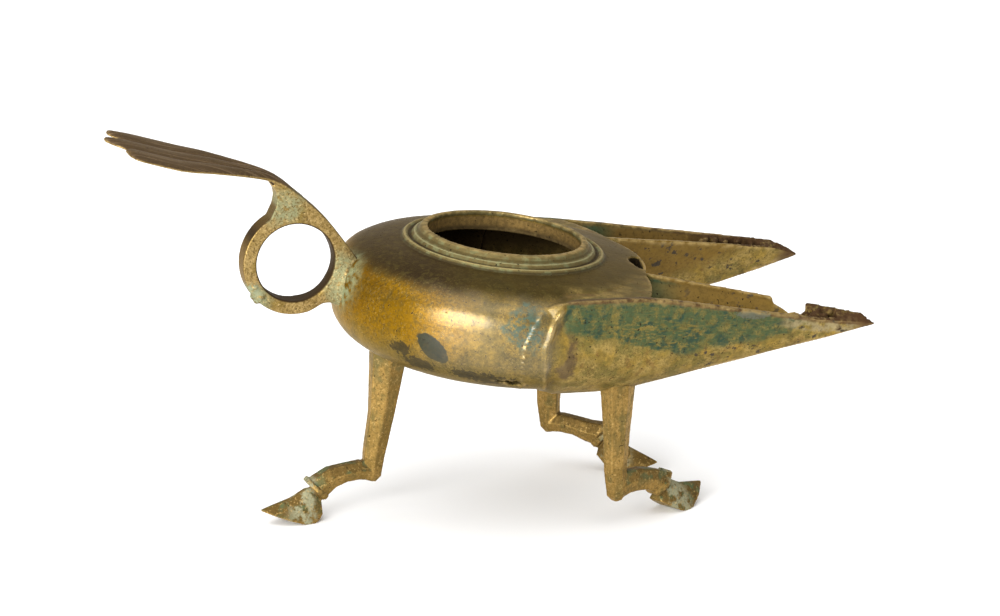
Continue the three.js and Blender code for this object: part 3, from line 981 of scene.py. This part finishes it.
# %% A socket that can be added and multiplied
class Signal:
    """One output of a material's nodes."""

    def __init__(self, tree, socket=None):
        self.tree = tree
        self.socket = socket

    def node(self, kind, settings=None, sockets=None, out=0):
        made = self.tree.nodes.new(kind)
        for name, value in (settings or {}).items():
            setattr(made, name, value)
        for name, value in (sockets or {}).items():
            if isinstance(value, Signal):
                self.tree.links.new(value.socket, made.inputs[name])
            else:
                made.inputs[name].default_value = value
        return Signal(self.tree, made.outputs[out])

    def sum(self, operation, first, second):
        return self.node("ShaderNodeMath", {"operation": operation}, {0: first, 1: second})

    def __add__(self, other):
        return self.sum("ADD", self, other)

    def __sub__(self, other):
        return self.sum("SUBTRACT", self, other)

    def __rsub__(self, other):
        return self.sum("SUBTRACT", other, self)

    def __mul__(self, other):
        return self.sum("MULTIPLY", self, other)

    __radd__ = __add__
    __rmul__ = __mul__

    def absolute(self):
        return self.node("ShaderNodeMath", {"operation": "ABSOLUTE"}, {0: self})

    def length(self):
        return self.node("ShaderNodeVectorMath", {"operation": "LENGTH"}, {0: self}, "Value")

    def rise(self, low, high):
        """Climbs softly from 0 at low to 1 at high; falls where high is the smaller."""
        return self.node("ShaderNodeMapRange", {"interpolation_type": "SMOOTHSTEP"},
                         {"Value": self, "From Min": low, "From Max": high})

    def slope(self, stops):
        """Straight runs between a few [position, value] stops."""
        total = 0
        for (x0, y0), (x1, y1) in zip(stops, stops[1:]):
            step = self.node("ShaderNodeMapRange", None, {"Value": self, "From Min": x0, "From Max": x1})
            total = total + step * (y1 - y0)
        return total + stops[0][1]

    def noise(self, size, detail=3, rough=0.55):
        return self.node("ShaderNodeTexNoise", None,
                         {"Vector": self, "Scale": 1 / size, "Detail": detail, "Roughness": rough})

    def mapped(self, kind="POINT", location=(0, 0, 0), turn=(0, 0, 0), scale=(1, 1, 1)):
        return self.node("ShaderNodeMapping", {"vector_type": kind},
                         {"Vector": self, "Location": location, "Rotation": turn, "Scale": scale})

    def spot(self, centre, reach, turn=(0, 0, 0), ragged=0.5, soft=0.12):
        """A ragged spot: 1 inside an ellipsoid about the centre, 0 outside."""
        far = self.mapped("TEXTURE", centre, turn, reach).length()
        far = far + (self.noise(min(reach) / 2) - 0.5) * ragged
        return far.rise(1 + soft, 1 - soft)


# %% [markdown]
# ## Worn bronze
# Bare bronze is golden and metallic; its patina is not. So a finish is a stack of coats over clouded
# metal. Each coat has a mask, and where the mask is 1 it brings its own colour, shine and height.

# %% Colours as they are seen
LIGHT_SHARE = 0.68


def colour(red, green, blue):
    """A linear colour from 0 to 255 values as seen on a screen, less what the strong light adds."""
    shares = [value / 255 for value in (red, green, blue)]
    linear = [s / 12.92 if s <= 0.04045 else ((s + 0.055) / 1.055) ** 2.4 for s in shares]
    return (*[LIGHT_SHARE * value for value in linear], 1)


# %% Coats over metal
BUMP_STRENGTH = 0.6
WAX_ROUGHNESS = 0.28
SPECULAR = 0.1
WARM_GLANCE = (1, 0.8, 0.52, 1)


class Finish:
    """A bronze material that takes coat after coat."""

    def __init__(self, name, bright, dull, turn=0, origin=(0, 0, 0)):
        self.material = bpy.data.materials.new(name)
        self.material.use_nodes = True
        self.start = Signal(self.material.node_tree)
        back = Vector(origin)
        back.rotate(Euler((0, -turn, 0)))
        coordinates = self.start.node("ShaderNodeTexCoord", None, None, "Object")
        self.place = coordinates.mapped(location=-back, turn=(0, -turn, 0), scale=(1 / MM,) * 3)
        self.x, self.y, self.z = [
            self.start.node("ShaderNodeSeparateXYZ", None, {0: self.place}, axis) for axis in range(3)
        ]
        clouds = self.place.noise(6, 6, 0.65).rise(0.38, 0.62)
        self.colour = self.tint(bright, dull, clouds)
        self.metal = 0.72 - 0.2 * clouds
        self.rough = 0.24 + 0.2 * self.place.noise(3, 4)
        self.height = 0.08 * self.place.noise(0.9, 4)
        self.wax = None

    def read(self, name):
        return self.start.node("ShaderNodeAttribute", {"attribute_name": name}, None, "Fac")

    def tint(self, under, over, mask):
        return self.start.node("ShaderNodeMix", {"data_type": "RGBA"}, {0: mask, 6: under, 7: over}, 2)

    def coat(self, mask, over, metal=None, rough=None, height=0):
        """Lays a coat on where the mask is 1; shine that isn't given stays as it was."""
        self.colour = self.tint(self.colour, over, mask)
        if metal is not None:
            self.metal = self.metal + (metal - self.metal) * mask
        if rough is not None:
            self.rough = self.rough + (rough - self.rough) * mask
        if height:
            self.height = self.height + height * mask

    def flecks(self, size, share, over, amount):
        """A fine mottle that keeps the shine as it is."""
        self.coat(self.place.noise(size, 5, 0.7).rise(share, share + 0.12) * amount, over)

    def pits(self, size, share, depth, over):
        self.coat(self.place.noise(size, 2).rise(share, share + 0.06), over, 0.2, 0.7, -depth)

    def rub(self, bright, dirt):
        """Bright metal on the rubbed ridges, dirt in the corners."""
        edge = self.read("edge")
        self.coat(edge.rise(0.47, 0.3) * 0.8, dirt, 0.2, 0.7)
        self.coat(edge.rise(0.56, 0.8) * self.place.noise(2).rise(0.3, 0.6), bright, 0.85, 0.32)

    def done(self):
        tree = self.material.node_tree
        shader = tree.nodes["Principled BSDF"]
        relief = self.start.node("ShaderNodeBump", None,
                                 {"Height": self.height, "Distance": MM, "Strength": BUMP_STRENGTH})
        ends = {"Base Color": self.colour, "Metallic": self.metal, "Roughness": self.rough}
        ends["Normal"] = relief
        if self.wax:
            ends["Coat Weight"] = self.wax
            shader.inputs["Coat Roughness"].default_value = WAX_ROUGHNESS
        shader.inputs["Specular IOR Level"].default_value = SPECULAR
        shader.inputs["Specular Tint"].default_value = WARM_GLANCE
        for name, signal in ends.items():
            tree.links.new(signal.socket, shader.inputs[name])
        print(self.material.name, "nodes:", len(tree.nodes))
        return self.material


# %% [markdown]
# ## Where the reservoir's coats lie
# The reservoir's colours follow its form, so the same few masks serve many coats: the outside, the
# dark shoulder, the spouts' outer walls and the teal upper part of those walls. All are read in the
# body's own upright frame, and a slow noise, the drift, keeps their borders from running straight.

# %% Masks that several coats share
DARK = colour(42, 34, 22)
DARK_FLECK = colour(70, 58, 28)
WALL_LINE = [(0, BODY_RADIUS), (SPOUT_TIP, TIP_OFFSET + TIP_HALF_WIDTH)]
TEAL_EDGE = [(2, -14), (20, -17), (42, -22), (56, -20), (70, -16), (82, -10), (92, -8)]


def mark_reservoir(bronze):
    place, x, z = bronze.place, bronze.x, bronze.z
    bronze.mottle = place.noise(1.2, 4)
    bronze.drift = (place.noise(7, 5) - 0.5) * 9
    bronze.depth = bronze.read("depth")
    bronze.outside = bronze.depth.rise(1.3, 0.8)
    bronze.beside = bronze.y.absolute()
    bronze.radius = place.mapped(scale=(1, 1, 0)).length()
    bronze.shoulder = (z + bronze.drift * 0.3).rise(-10, -5.6) * bronze.outside
    on_wall = (bronze.beside - x.slope(WALL_LINE)).rise(-2.4, -1.4)
    bronze.wall = on_wall * (x + bronze.drift * 1.2).rise(5, 7) * bronze.outside
    bronze.level = z - x.slope(TEAL_EDGE) + (place.noise(5, 5) - 0.5) * 7
    bronze.teal = bronze.wall * bronze.level.rise(-0.4, 0.8)


# %% [markdown]
# ## Body and spouts
# The metal is ochre at the back and olive under the belly, darker towards the bottom as painted shade.
# It is dark brown on the shoulder and the deck, partly patina and partly a painted dark reflection.
# The spouts are paler, clouded in gold, olive and brown. Fine flecks over all of it break up the
# even colour, as the grain of old bronze does.

# %% Coats of the body and the spouts
OCHRE = colour(150, 110, 14)
BELLY_OLIVE_AND_SHADE = colour(102, 88, 46)
SHOULDER_BROWN_AND_DARK_REFLECTION = colour(54, 45, 19)
BACK_BROWN_AND_DARK_REFLECTION = colour(47, 34, 20)
SPOUT_GOLD = colour(172, 146, 82)
SPOUT_OLIVE = colour(104, 98, 50)
SPOUT_BROWN = colour(126, 92, 50)
OLIVE_FLECK = colour(92, 80, 38)
BRIGHT_FLECK = colour(204, 172, 98)


def lay_body(bronze):
    x, z, drift, shoulder = bronze.x, bronze.z, bronze.drift, bronze.shoulder
    bronze.coat((x + drift).rise(-14, -30) * (z + drift).rise(-30, -20), OCHRE, 0.7, 0.34)
    # The olive under the belly is patina, darkened towards the bottom as painted shade.
    bronze.coat((z + drift).rise(-22, -31) * 0.75, BELLY_OLIVE_AND_SHADE, 0.5, 0.45)
    # The dark brown on the shoulder and the deck is partly patina and partly a painted dark reflection.
    bronze.coat(shoulder * 0.9, SHOULDER_BROWN_AND_DARK_REFLECTION, 0.6, 0.42)
    bronze.coat(shoulder * (x + drift).rise(-12, -28), BACK_BROWN_AND_DARK_REFLECTION, 0.6, 0.4)


def lay_spouts(bronze):
    place = bronze.place
    on_spout = bronze.x.rise(5, 9) * bronze.z.rise(-4.5, -6)
    elsewhere = place.mapped(location=(40, 9, 5))
    bronze.coat(on_spout * (0.3 + 0.7 * place.noise(4, 5).rise(0.4, 0.6)), SPOUT_GOLD, 0.4, 0.5)
    bronze.coat(on_spout * place.noise(5, 6, 0.65).rise(0.5, 0.6) * 0.6, SPOUT_OLIVE, 0.35, 0.5)
    bronze.coat(on_spout * elsewhere.noise(3.5, 6, 0.7).rise(0.54, 0.64) * 0.6, SPOUT_BROWN, 0.35, 0.5)
    busy = place.noise(8, 4).rise(0.36, 0.6)
    bronze.flecks(0.6, 0.48, DARK_FLECK, 0.2 + 0.35 * busy)
    bronze.flecks(2.2, 0.5, OLIVE_FLECK, 0.45)
    bronze.flecks(0.8, 0.54, BRIGHT_FLECK, (0.2 + 0.3 * busy) * (1 - 0.7 * bronze.shoulder))


# %% [markdown]
# ## Teal on the spouts' walls
# The upper half of each outer wall carries a teal coat, scratched and worn through to the metal.
# Stretched noise gives the scratches. Towards the beak the coat turns pale, the brink is brown, and
# a little of the teal sits behind the collar too.

# %% Coats of the spouts' walls
COLLAR_SHADE_BROWN = colour(86, 70, 56)
UNDER_TEAL = colour(112, 106, 58)
TEAL = colour(74, 88, 58)
DEEP_TEAL = colour(50, 72, 58)
PALE_END = colour(164, 148, 108)
BRINK_BROWN = colour(88, 58, 38)
STRIP_HIGHLIGHT_GREY = colour(98, 100, 84)
COLLAR_TEAL = colour(76, 96, 78)


def lay_teal(bronze):
    place, x, wall, teal = bronze.place, bronze.x, bronze.wall, bronze.teal
    scratches = place.mapped(turn=(0, 0.9, 0), scale=(0.4, 1, 1.5)).noise(1, 4).rise(0.5, 0.6)
    rubbed = place.spot((36, -42, -15.5), (11, 8, 4), ragged=2)
    rubbed = rubbed + place.spot((27, -43, -14), (6, 8, 3), ragged=2)
    worn = scratches * (0.3 + rubbed * 0.5) + place.noise(2.6, 6, 0.65).rise(0.46, 0.62) * 0.8
    # Painted shade: a purple-brown spot on the wall just ahead of the collar's front ridge.
    collar_shade = place.spot((6.5, -44, -24), (3, 8, 11), ragged=1.6, soft=0.4)
    bronze.coat(wall * collar_shade * 0.8, COLLAR_SHADE_BROWN, 0.4, 0.45)
    bronze.coat(wall * bronze.level.rise(-4, 2) * 0.6, UNDER_TEAL, 0.3, 0.5)
    bronze.coat(teal * (1 - worn * 0.85), TEAL, 0.2, 0.5, 0.12)
    bronze.coat(teal * place.noise(3.4, 4).rise(0.5, 0.62) * (1 - worn), DEEP_TEAL, 0.2, 0.48)
    brink = bronze.z - x.slope(TOPS[RIGHT]["outer"]) + (place.noise(2) - 0.5)
    pale_end = wall * brink.rise(-4.4, -3) * (x + bronze.drift * 0.5).rise(68, 74)
    bronze.coat(pale_end * place.noise(2.4, 5).rise(0.36, 0.56) * 0.9, PALE_END, 0.3, 0.5)
    bronze.coat(wall * brink.rise(-1.3, -0.6) * 0.8, BRINK_BROWN, 0.3, 0.5)
    # Painted highlight: a grey strip high on the right spout's wall.
    bronze.coat(wall * place.spot((61, -38, -9.8), (5, 5, 1.2), ragged=1.6), STRIP_HIGHLIGHT_GREY, 0.2, 0.5)
    behind_collar = place.spot((-6, -45, -13.8), (5, 5, 6), ragged=2, soft=0.4)
    bronze.coat(behind_collar * bronze.mottle.rise(0.38, 0.56), COLLAR_TEAL, 0.2, 0.5)


# %% [markdown]
# ## Stains and the rim
# A few dark stains lie low on the belly, with one slanting patch above them, and pale green gathers
# where the handle joins. The rim is duller than the body. Its mouldings are drawn in colour, with
# painted shade in the grooves and painted highlights on the beads, so each is a thin ring of its own
# colour.

# %% Coats of the stains and the rim
STAIN = colour(46, 42, 28)
PATCH = colour(52, 53, 36)
ROOT_GREEN = colour(150, 156, 116)
RIM_BRONZE = colour(112, 98, 60)
RIM_GREEN = colour(134, 138, 98)
BELLY_STAINS = [((-35.5, -28.1, -25.4), (3.4, 3.4, 2)), ((-29.8, -30.6, -29), (6, 4, 2.2)),
                ((-19.3, -37.5, -29.4), (3.4, 3, 1.8)), ((-10, -38, -29.5), (9, 4, 2.6))]
RIM_SHADE_AND_HIGHLIGHT_LINES = [(28.3, 0.5, DARK, -0.2), (27.3, 0.4, colour(166, 156, 108), 0.2), (25.9, 0.6, DARK, -0.2),
             (24.6, 0.35, colour(166, 160, 116), 0.2), (23.8, 0.35, colour(84, 72, 40), -0.15)]


def lay_stains(bronze):
    place = bronze.place
    for centre, reach in BELLY_STAINS:
        stain = place.spot(centre, reach, ragged=2.4) * bronze.outside
        bronze.coat(stain * (0.7 + 0.3 * bronze.mottle), STAIN, 0.3, 0.5)
    patch = place.spot((-28.3, -35.5, -23.1), (5.4, 3.4, 2.9), (0, 0.62, -0.5), 0.4, 0.06)
    bronze.coat(patch, PATCH, 0.3, 0.45)
    root = place.spot((-46, 0, -13), (6, 11, 9), ragged=0.6, soft=0.4)
    bronze.coat(root * place.noise(2, 4).rise(0.35, 0.55), ROOT_GREEN, 0.1, 0.6)


def lay_rim(bronze):
    rim = bronze.radius.rise(28.8, 28) * bronze.z.rise(-5, -4) * bronze.depth.rise(1.3, 0.5)
    bronze.coat(rim, RIM_BRONZE, 0.45, 0.48)
    bronze.coat(rim * bronze.place.noise(2, 5).rise(0.46, 0.66) * 0.7, RIM_GREEN, 0.15, 0.6)
    # Painted shade in the grooves and painted highlights on the beads of the mouldings.
    for radius, half_width, tone, height in RIM_SHADE_AND_HIGHLIGHT_LINES:
        line = (bronze.radius - radius).absolute().rise(half_width, half_width * 0.4)
        bronze.coat(rim * line * 0.75, tone, 0.3, 0.5, height)


# %% [markdown]
# ## Hollow, crust and wear
# The inside was never polished and is a dull brown, with a golden lip and a green stretch where the
# channels start. Last come pits, painted shade inside the hole in the deck, a waxy gleam on the belly,
# rubbed ridges with dirt in the corners, and the brown of the crust.

# %% Coats of the hollow
BETWEEN_BROWN = colour(130, 100, 44)
SPECK = colour(74, 66, 54)
HOLLOW_BROWN = colour(84, 68, 42)
LIP_GOLD = colour(158, 128, 74)
CHANNEL_GOLD = colour(142, 114, 60)
CHANNEL_GREEN = colour(84, 104, 74)


def lay_hollow(bronze):
    place, x, depth = bronze.place, bronze.x, bronze.depth
    between = bronze.beside.rise(30, 27) * x.rise(38, 42)
    bronze.coat(between * 0.8, BETWEEN_BROWN, 0.4, 0.55)
    specks = x.rise(40, 44) * place.noise(2.6, 4).rise(0.6, 0.66)
    bronze.coat(specks * (1 - bronze.teal), SPECK, 0.2, 0.6)
    hollow = depth.rise(1, 1.8)
    bronze.coat(hollow, HOLLOW_BROWN, 0.1, 0.7)
    lip = hollow * bronze.radius.rise(23, 21.6) * bronze.z.rise(-4.6, -3.2)
    bronze.coat(lip * (0.5 + 0.5 * bronze.mottle.rise(0.4, 0.6)), LIP_GOLD, 0.5, 0.5)
    channel = x.rise(34, 38) * depth.rise(0.5, 1.2)
    bronze.coat(channel, CHANNEL_GOLD, 0.4, 0.55)
    bronze.coat(channel * (x + bronze.drift * 0.5).rise(47, 38), CHANNEL_GREEN, 0.1, 0.6)


# %% Wear, crust and the finished reservoir
CRUST_BROWN = colour(70, 50, 32)
BEAK_BROWN = colour(74, 52, 32)
TIP_BROWN = colour(84, 58, 36)


def lay_wear(bronze):
    place, x, drift, depth = bronze.place, bronze.x, bronze.drift, bronze.depth
    bronze.flecks(1, 0.5, DARK_FLECK, 0.35)
    bronze.pits(0.8, 0.66, 0.25, DARK)
    # Painted shade: dark colour on the sunken surfaces seen through the hole in the deck.
    deck_hole_shade = place.spot((36.6, -7.6, -8), (4.4, 8.4, 6), ragged=0.4)
    bronze.coat(deck_hole_shade * depth.rise(0.25, 0.5), DARK, 0.1, 0.7)
    belly = bronze.z.rise(-30, -24) * x.rise(8, -2) * x.rise(-36, -22)
    bronze.wax = bronze.outside * (1 - bronze.shoulder) * (1 - bronze.teal) * belly
    bronze.rub(colour(190, 162, 104), colour(56, 44, 26))
    inside = (depth + (place.noise(3) - 0.5) * 2).rise(0, 0.7)
    crusty = (x + drift * 0.6).rise(58, 76) * inside * bronze.beside.rise(31, 32)
    bronze.coat(crusty * place.noise(1.6, 4).rise(0.3, 0.5), CRUST_BROWN, 0.1, 0.75, 0.1)
    beak = (x + drift * 0.5).rise(75, 79) * bronze.read("up").rise(0, 0.4) * bronze.beside.rise(27, 29)
    bronze.coat(beak * (0.5 + 0.5 * bronze.mottle.rise(0.4, 0.55)), BEAK_BROWN, 0.1, 0.7)
    bronze.coat((x + drift * 0.3).rise(90, 95) * 0.8, TIP_BROWN, 0.3, 0.5)


def reservoir_finish():
    bronze = Finish("reservoir bronze", colour(170, 138, 58), colour(118, 100, 46), LEAN, BODY_PLACE)
    mark_reservoir(bronze)
    for lay in (lay_body, lay_spouts, lay_teal, lay_stains, lay_rim, lay_hollow, lay_wear):
        lay(bronze)
    return bronze.done()


# %% [markdown]
# ## Skin of the handle
# The ring is rubbed golden by fingers, with pits. The leaf's top is brown, darkened on its upward face
# as a painted dark reflection, and shows the fine strokes of the tool that finished it. Pale green sits
# in the corners.

# %% Coats of the handle
HANDLE_MOTTLE = colour(120, 98, 54)
HANDLE_OLIVE = colour(142, 118, 56)
LEAF_BROWN_AND_DARK_REFLECTION = colour(86, 68, 50)
STROKE = colour(124, 102, 78)
PALE_GREEN = colour(142, 146, 110)
PALE_SPOTS = [((-63.5, 0, 91), (6, 9, 5)), ((-47, 0, 68), (4.6, 12, 9)), ((-71, -2, 65), (4, 4, 4))]
HOLE_BROWN = colour(58, 44, 26)
BAND_BROWN = colour(104, 78, 34)
EDGE_BROWN = colour(62, 46, 26)
KNOB_GREEN = colour(150, 154, 122)


def lay_leaf(bronze, leaf):
    strokes = bronze.place.mapped(scale=(0.05, 1.5, 0.05)).noise(0.9, 3)
    # The leaf's upward face is brown patina, darkened as a painted dark reflection.
    bronze.coat(leaf, LEAF_BROWN_AND_DARK_REFLECTION, 0.5, 0.46)
    bronze.coat(leaf * strokes.rise(0.5, 0.66), STROKE, 0.5, 0.42, -0.08)


def lay_ring(bronze, leaf):
    """Darker colour in the ring's hole, round its outer band and on its upward upper edge, and the pale
    knob.
    """
    place = bronze.place
    reach = place.mapped(location=(-RING_CENTRE[0], 0, -RING_CENTRE[1]), scale=(1, 0, 1)).length()
    bronze.coat(reach.rise(11.5, 11.1), HOLE_BROWN, 0.2, 0.6)
    side = bronze.y.absolute().rise(2.8, 2.4)
    band = bronze.x.rise(-60, -64) * reach.rise(14, 14.4) * reach.rise(18, 17) * side
    bronze.coat(band * 0.8, BAND_BROWN, 0.5, 0.45)
    upper_edge = bronze.read("up").rise(0.3, 0.6) * (1 - leaf) * bronze.z.rise(68, 72)
    bronze.coat(upper_edge, EDGE_BROWN, 0.3, 0.6)
    knob_spot = place.spot((-72.6, -2, 67), (3, 4, 3.4), soft=0.3)
    bronze.coat(knob_spot * place.noise(1.1, 4).rise(0.36, 0.56), KNOB_GREEN, 0.05, 0.75)


def handle_finish():
    bronze = Finish("handle bronze", colour(178, 150, 94), colour(150, 124, 70), 0, (SHIFT, 0, 0))
    place = bronze.place
    bronze.coat(place.noise(0.9, 4).rise(0.5, 0.66) * 0.7, HANDLE_MOTTLE, 0.45, 0.55)
    bronze.coat(place.noise(4, 4).rise(0.52, 0.66) * 0.7, HANDLE_OLIVE, 0.6, 0.45)
    leaf = bronze.x.rise(-48, -54) * bronze.read("up").rise(0.15, 0.5) * bronze.z.rise(84, 88)
    lay_leaf(bronze, leaf)
    # Every round of flecks also deepens the ones before it.
    for centre, reach in PALE_SPOTS:
        pale = place.spot(centre, reach, ragged=0.9, soft=0.4) * place.noise(1.6, 4).rise(0.3, 0.5)
        bronze.coat(pale * 0.85, PALE_GREEN, 0.15, 0.6)
        bronze.flecks(0.6, 0.5, colour(104, 82, 42), 0.45 * (1 - 0.6 * leaf))
    bronze.flecks(0.8, 0.54, colour(222, 192, 132), 0.5 * (1 - 0.8 * leaf))
    bronze.pits(0.7, 0.66, 0.25, colour(66, 52, 30))
    bronze.rub(colour(200, 170, 112), colour(64, 50, 28))
    lay_ring(bronze, leaf)
    return bronze.done()


# %% [markdown]
# ## Skin of the legs
# The legs are golden like the ring and brighter along their ridges. On top of the shanks they carry
# brown painted shade and a green tinge, and the hooves carry pale crust.

# %% Coats of the legs
LEG_MOTTLE = colour(112, 92, 48)
LEG_OLIVE = colour(104, 96, 56)
LEG_STREAK = colour(112, 98, 56)
SHANK_SHADE_BROWN = colour(92, 72, 36)
SHANK_GREEN = colour(92, 102, 68)
HOOF_CRUST = colour(160, 158, 126)
THIGH_OLIVE = colour(116, 106, 66)


def leg_finish():
    bronze = Finish("leg bronze", colour(172, 138, 76), colour(140, 112, 58))
    place, z = bronze.place, bronze.z
    bronze.coat(place.noise(0.9, 4).rise(0.5, 0.66) * 0.7, LEG_MOTTLE, 0.4, 0.55)
    bronze.coat(place.noise(5, 4).rise(0.55, 0.68) * 0.7, LEG_OLIVE, 0.4, 0.55)
    streaks = place.mapped(scale=(1, 1, 0.16)).noise(1.7, 4, 0.6)
    bronze.coat(streaks.rise(0.5, 0.64) * 0.6, LEG_STREAK, 0.35, 0.5)
    shank = bronze.read("up").rise(0.1, 0.5) * z.rise(18, 15)
    # Painted shade: brown on the upward face of the shanks.
    bronze.coat(shank * 0.8, SHANK_SHADE_BROWN, 0.4, 0.5)
    bronze.coat(shank * bronze.y.rise(8, 4) * place.noise(3, 4).rise(0.46, 0.6), SHANK_GREEN, 0.2, 0.55)
    bronze.coat(bronze.read("hoof") * place.noise(2.6, 5).rise(0.42, 0.54), HOOF_CRUST, 0.1, 0.7)
    bronze.coat(z.rise(36, 42) * place.noise(4, 4).rise(0.46, 0.62) * 0.7, THIGH_OLIVE, 0.3, 0.5)
    bronze.flecks(0.6, 0.5, colour(96, 76, 36), 0.45)
    bronze.flecks(0.8, 0.54, colour(216, 180, 112), 0.5)
    bronze.pits(0.7, 0.66, 0.25, colour(60, 48, 28))
    bronze.rub(colour(204, 170, 108), colour(66, 52, 30))
    return bronze.done()


# %% [markdown]
# ## Setting the pieces in the frame
# Each piece is shrunk to metres, rides on the lamp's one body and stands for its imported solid. The
# closed form and the trimming core have done their work and are thrown away.

# %% Place and dress
leg_skin = leg_finish()
skins = {"reservoir": reservoir_finish(), "handle": handle_finish(), **{name: leg_skin for name in legs}}
for node, piece in {"reservoir": reservoir, "handle": handle, **legs}.items():
    move(piece, (0, 0, 0), scale=(MM, MM, MM))
    pick(piece)
    bpy.ops.object.shade_smooth()
    piece.data.materials.clear()
    piece.data.materials.append(skins[node])
    piece.name = f"{node}_bronze"
    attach(piece, "root")
    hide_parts(node)
    print(piece.name, len(piece.data.polygons), "faces")
for tool in (closed_form, core):
    bpy.data.objects.remove(tool)

# %% [markdown]
# ## Floor
# The lamp stands on a plain pale floor. It is much larger than the lamp, so that its edge shows from
# no side, and matt, so that only the soft shadow lies on it.

# %% Lay the floor
FLOOR_SIZE = 6
FLOOR_WHITE = (0.95, 0.95, 0.95, 1)
FLOOR_ROUGHNESS = 0.9
pick(None)
bpy.ops.mesh.primitive_plane_add(size=FLOOR_SIZE)
floor = bpy.context.object
floor.name = "floor"
pale = bpy.data.materials.new("pale floor")
pale.use_nodes = True
pale.node_tree.nodes["Principled BSDF"].inputs["Base Color"].default_value = FLOOR_WHITE
pale.node_tree.nodes["Principled BSDF"].inputs["Roughness"].default_value = FLOOR_ROUGHNESS
floor.data.materials.append(pale)
print("floor:", FLOOR_SIZE, "m wide")

# %% [markdown]
# ## Light
# Bronze looks dull under bare lamps and flat under an even sky, so there are two broad soft lights,
# one low at the front left that draws the gleam on the belly and one above, and a pale sky that
# fills the shadows.

# %% Set up the lights
LAMP_MIDDLE = (0, 0, 0.06)
SOFTBOXES = {
    "front softbox": dict(place=(-1.06, -1.2, 0.34), size=1.35, power=50),
    "top softbox": dict(place=(-0.3, -0.1, 1.7), size=3, power=30),
}
SKY_WHITE = (1, 1, 1, 1)
SKY_STRENGTH = 0.74


def softbox(name, place, size, power):
    """A round soft light that looks at the middle of the lamp."""
    bpy.ops.object.light_add(type="AREA", location=place)
    light = bpy.context.object
    light.name = name
    light.data.shape = "DISK"
    light.data.size = size
    light.data.energy = power
    light.rotation_euler = (Vector(LAMP_MIDDLE) - Vector(place)).to_track_quat("-Z", "Y").to_euler()


for name, settings in SOFTBOXES.items():
    softbox(name, **settings)
world = bpy.data.worlds.new("studio")
bpy.context.scene.world = world
world.use_nodes = True
world.node_tree.nodes["Background"].inputs["Color"].default_value = SKY_WHITE
world.node_tree.nodes["Background"].inputs["Strength"].default_value = SKY_STRENGTH
bpy.context.scene.view_settings.view_transform = "Standard"
print("lights:", ", ".join(SOFTBOXES))

# %% [markdown]
# ## Camera
# The view is from the lamp's right, a little behind its middle and a little above. A long lens from
# two metres away keeps the near and the far spout almost the same size, as in a catalogue picture.

# %% Set up the camera
CAMERA_PLACE = (-0.5376, -1.8331, 0.6627)
CAMERA_TURN = math.radians(16.54)
CAMERA_DROP = math.radians(17.6)
CAMERA_LENS = 262.8
SENSOR_WIDTH = 36
bpy.ops.object.camera_add(location=CAMERA_PLACE, rotation=(math.pi / 2 - CAMERA_DROP, 0, -CAMERA_TURN))
camera = bpy.context.object
camera.data.sensor_width = SENSOR_WIDTH
camera.data.lens = CAMERA_LENS
bpy.context.scene.camera = camera
print("camera:", round(Vector(CAMERA_PLACE).length, 2), "m away")
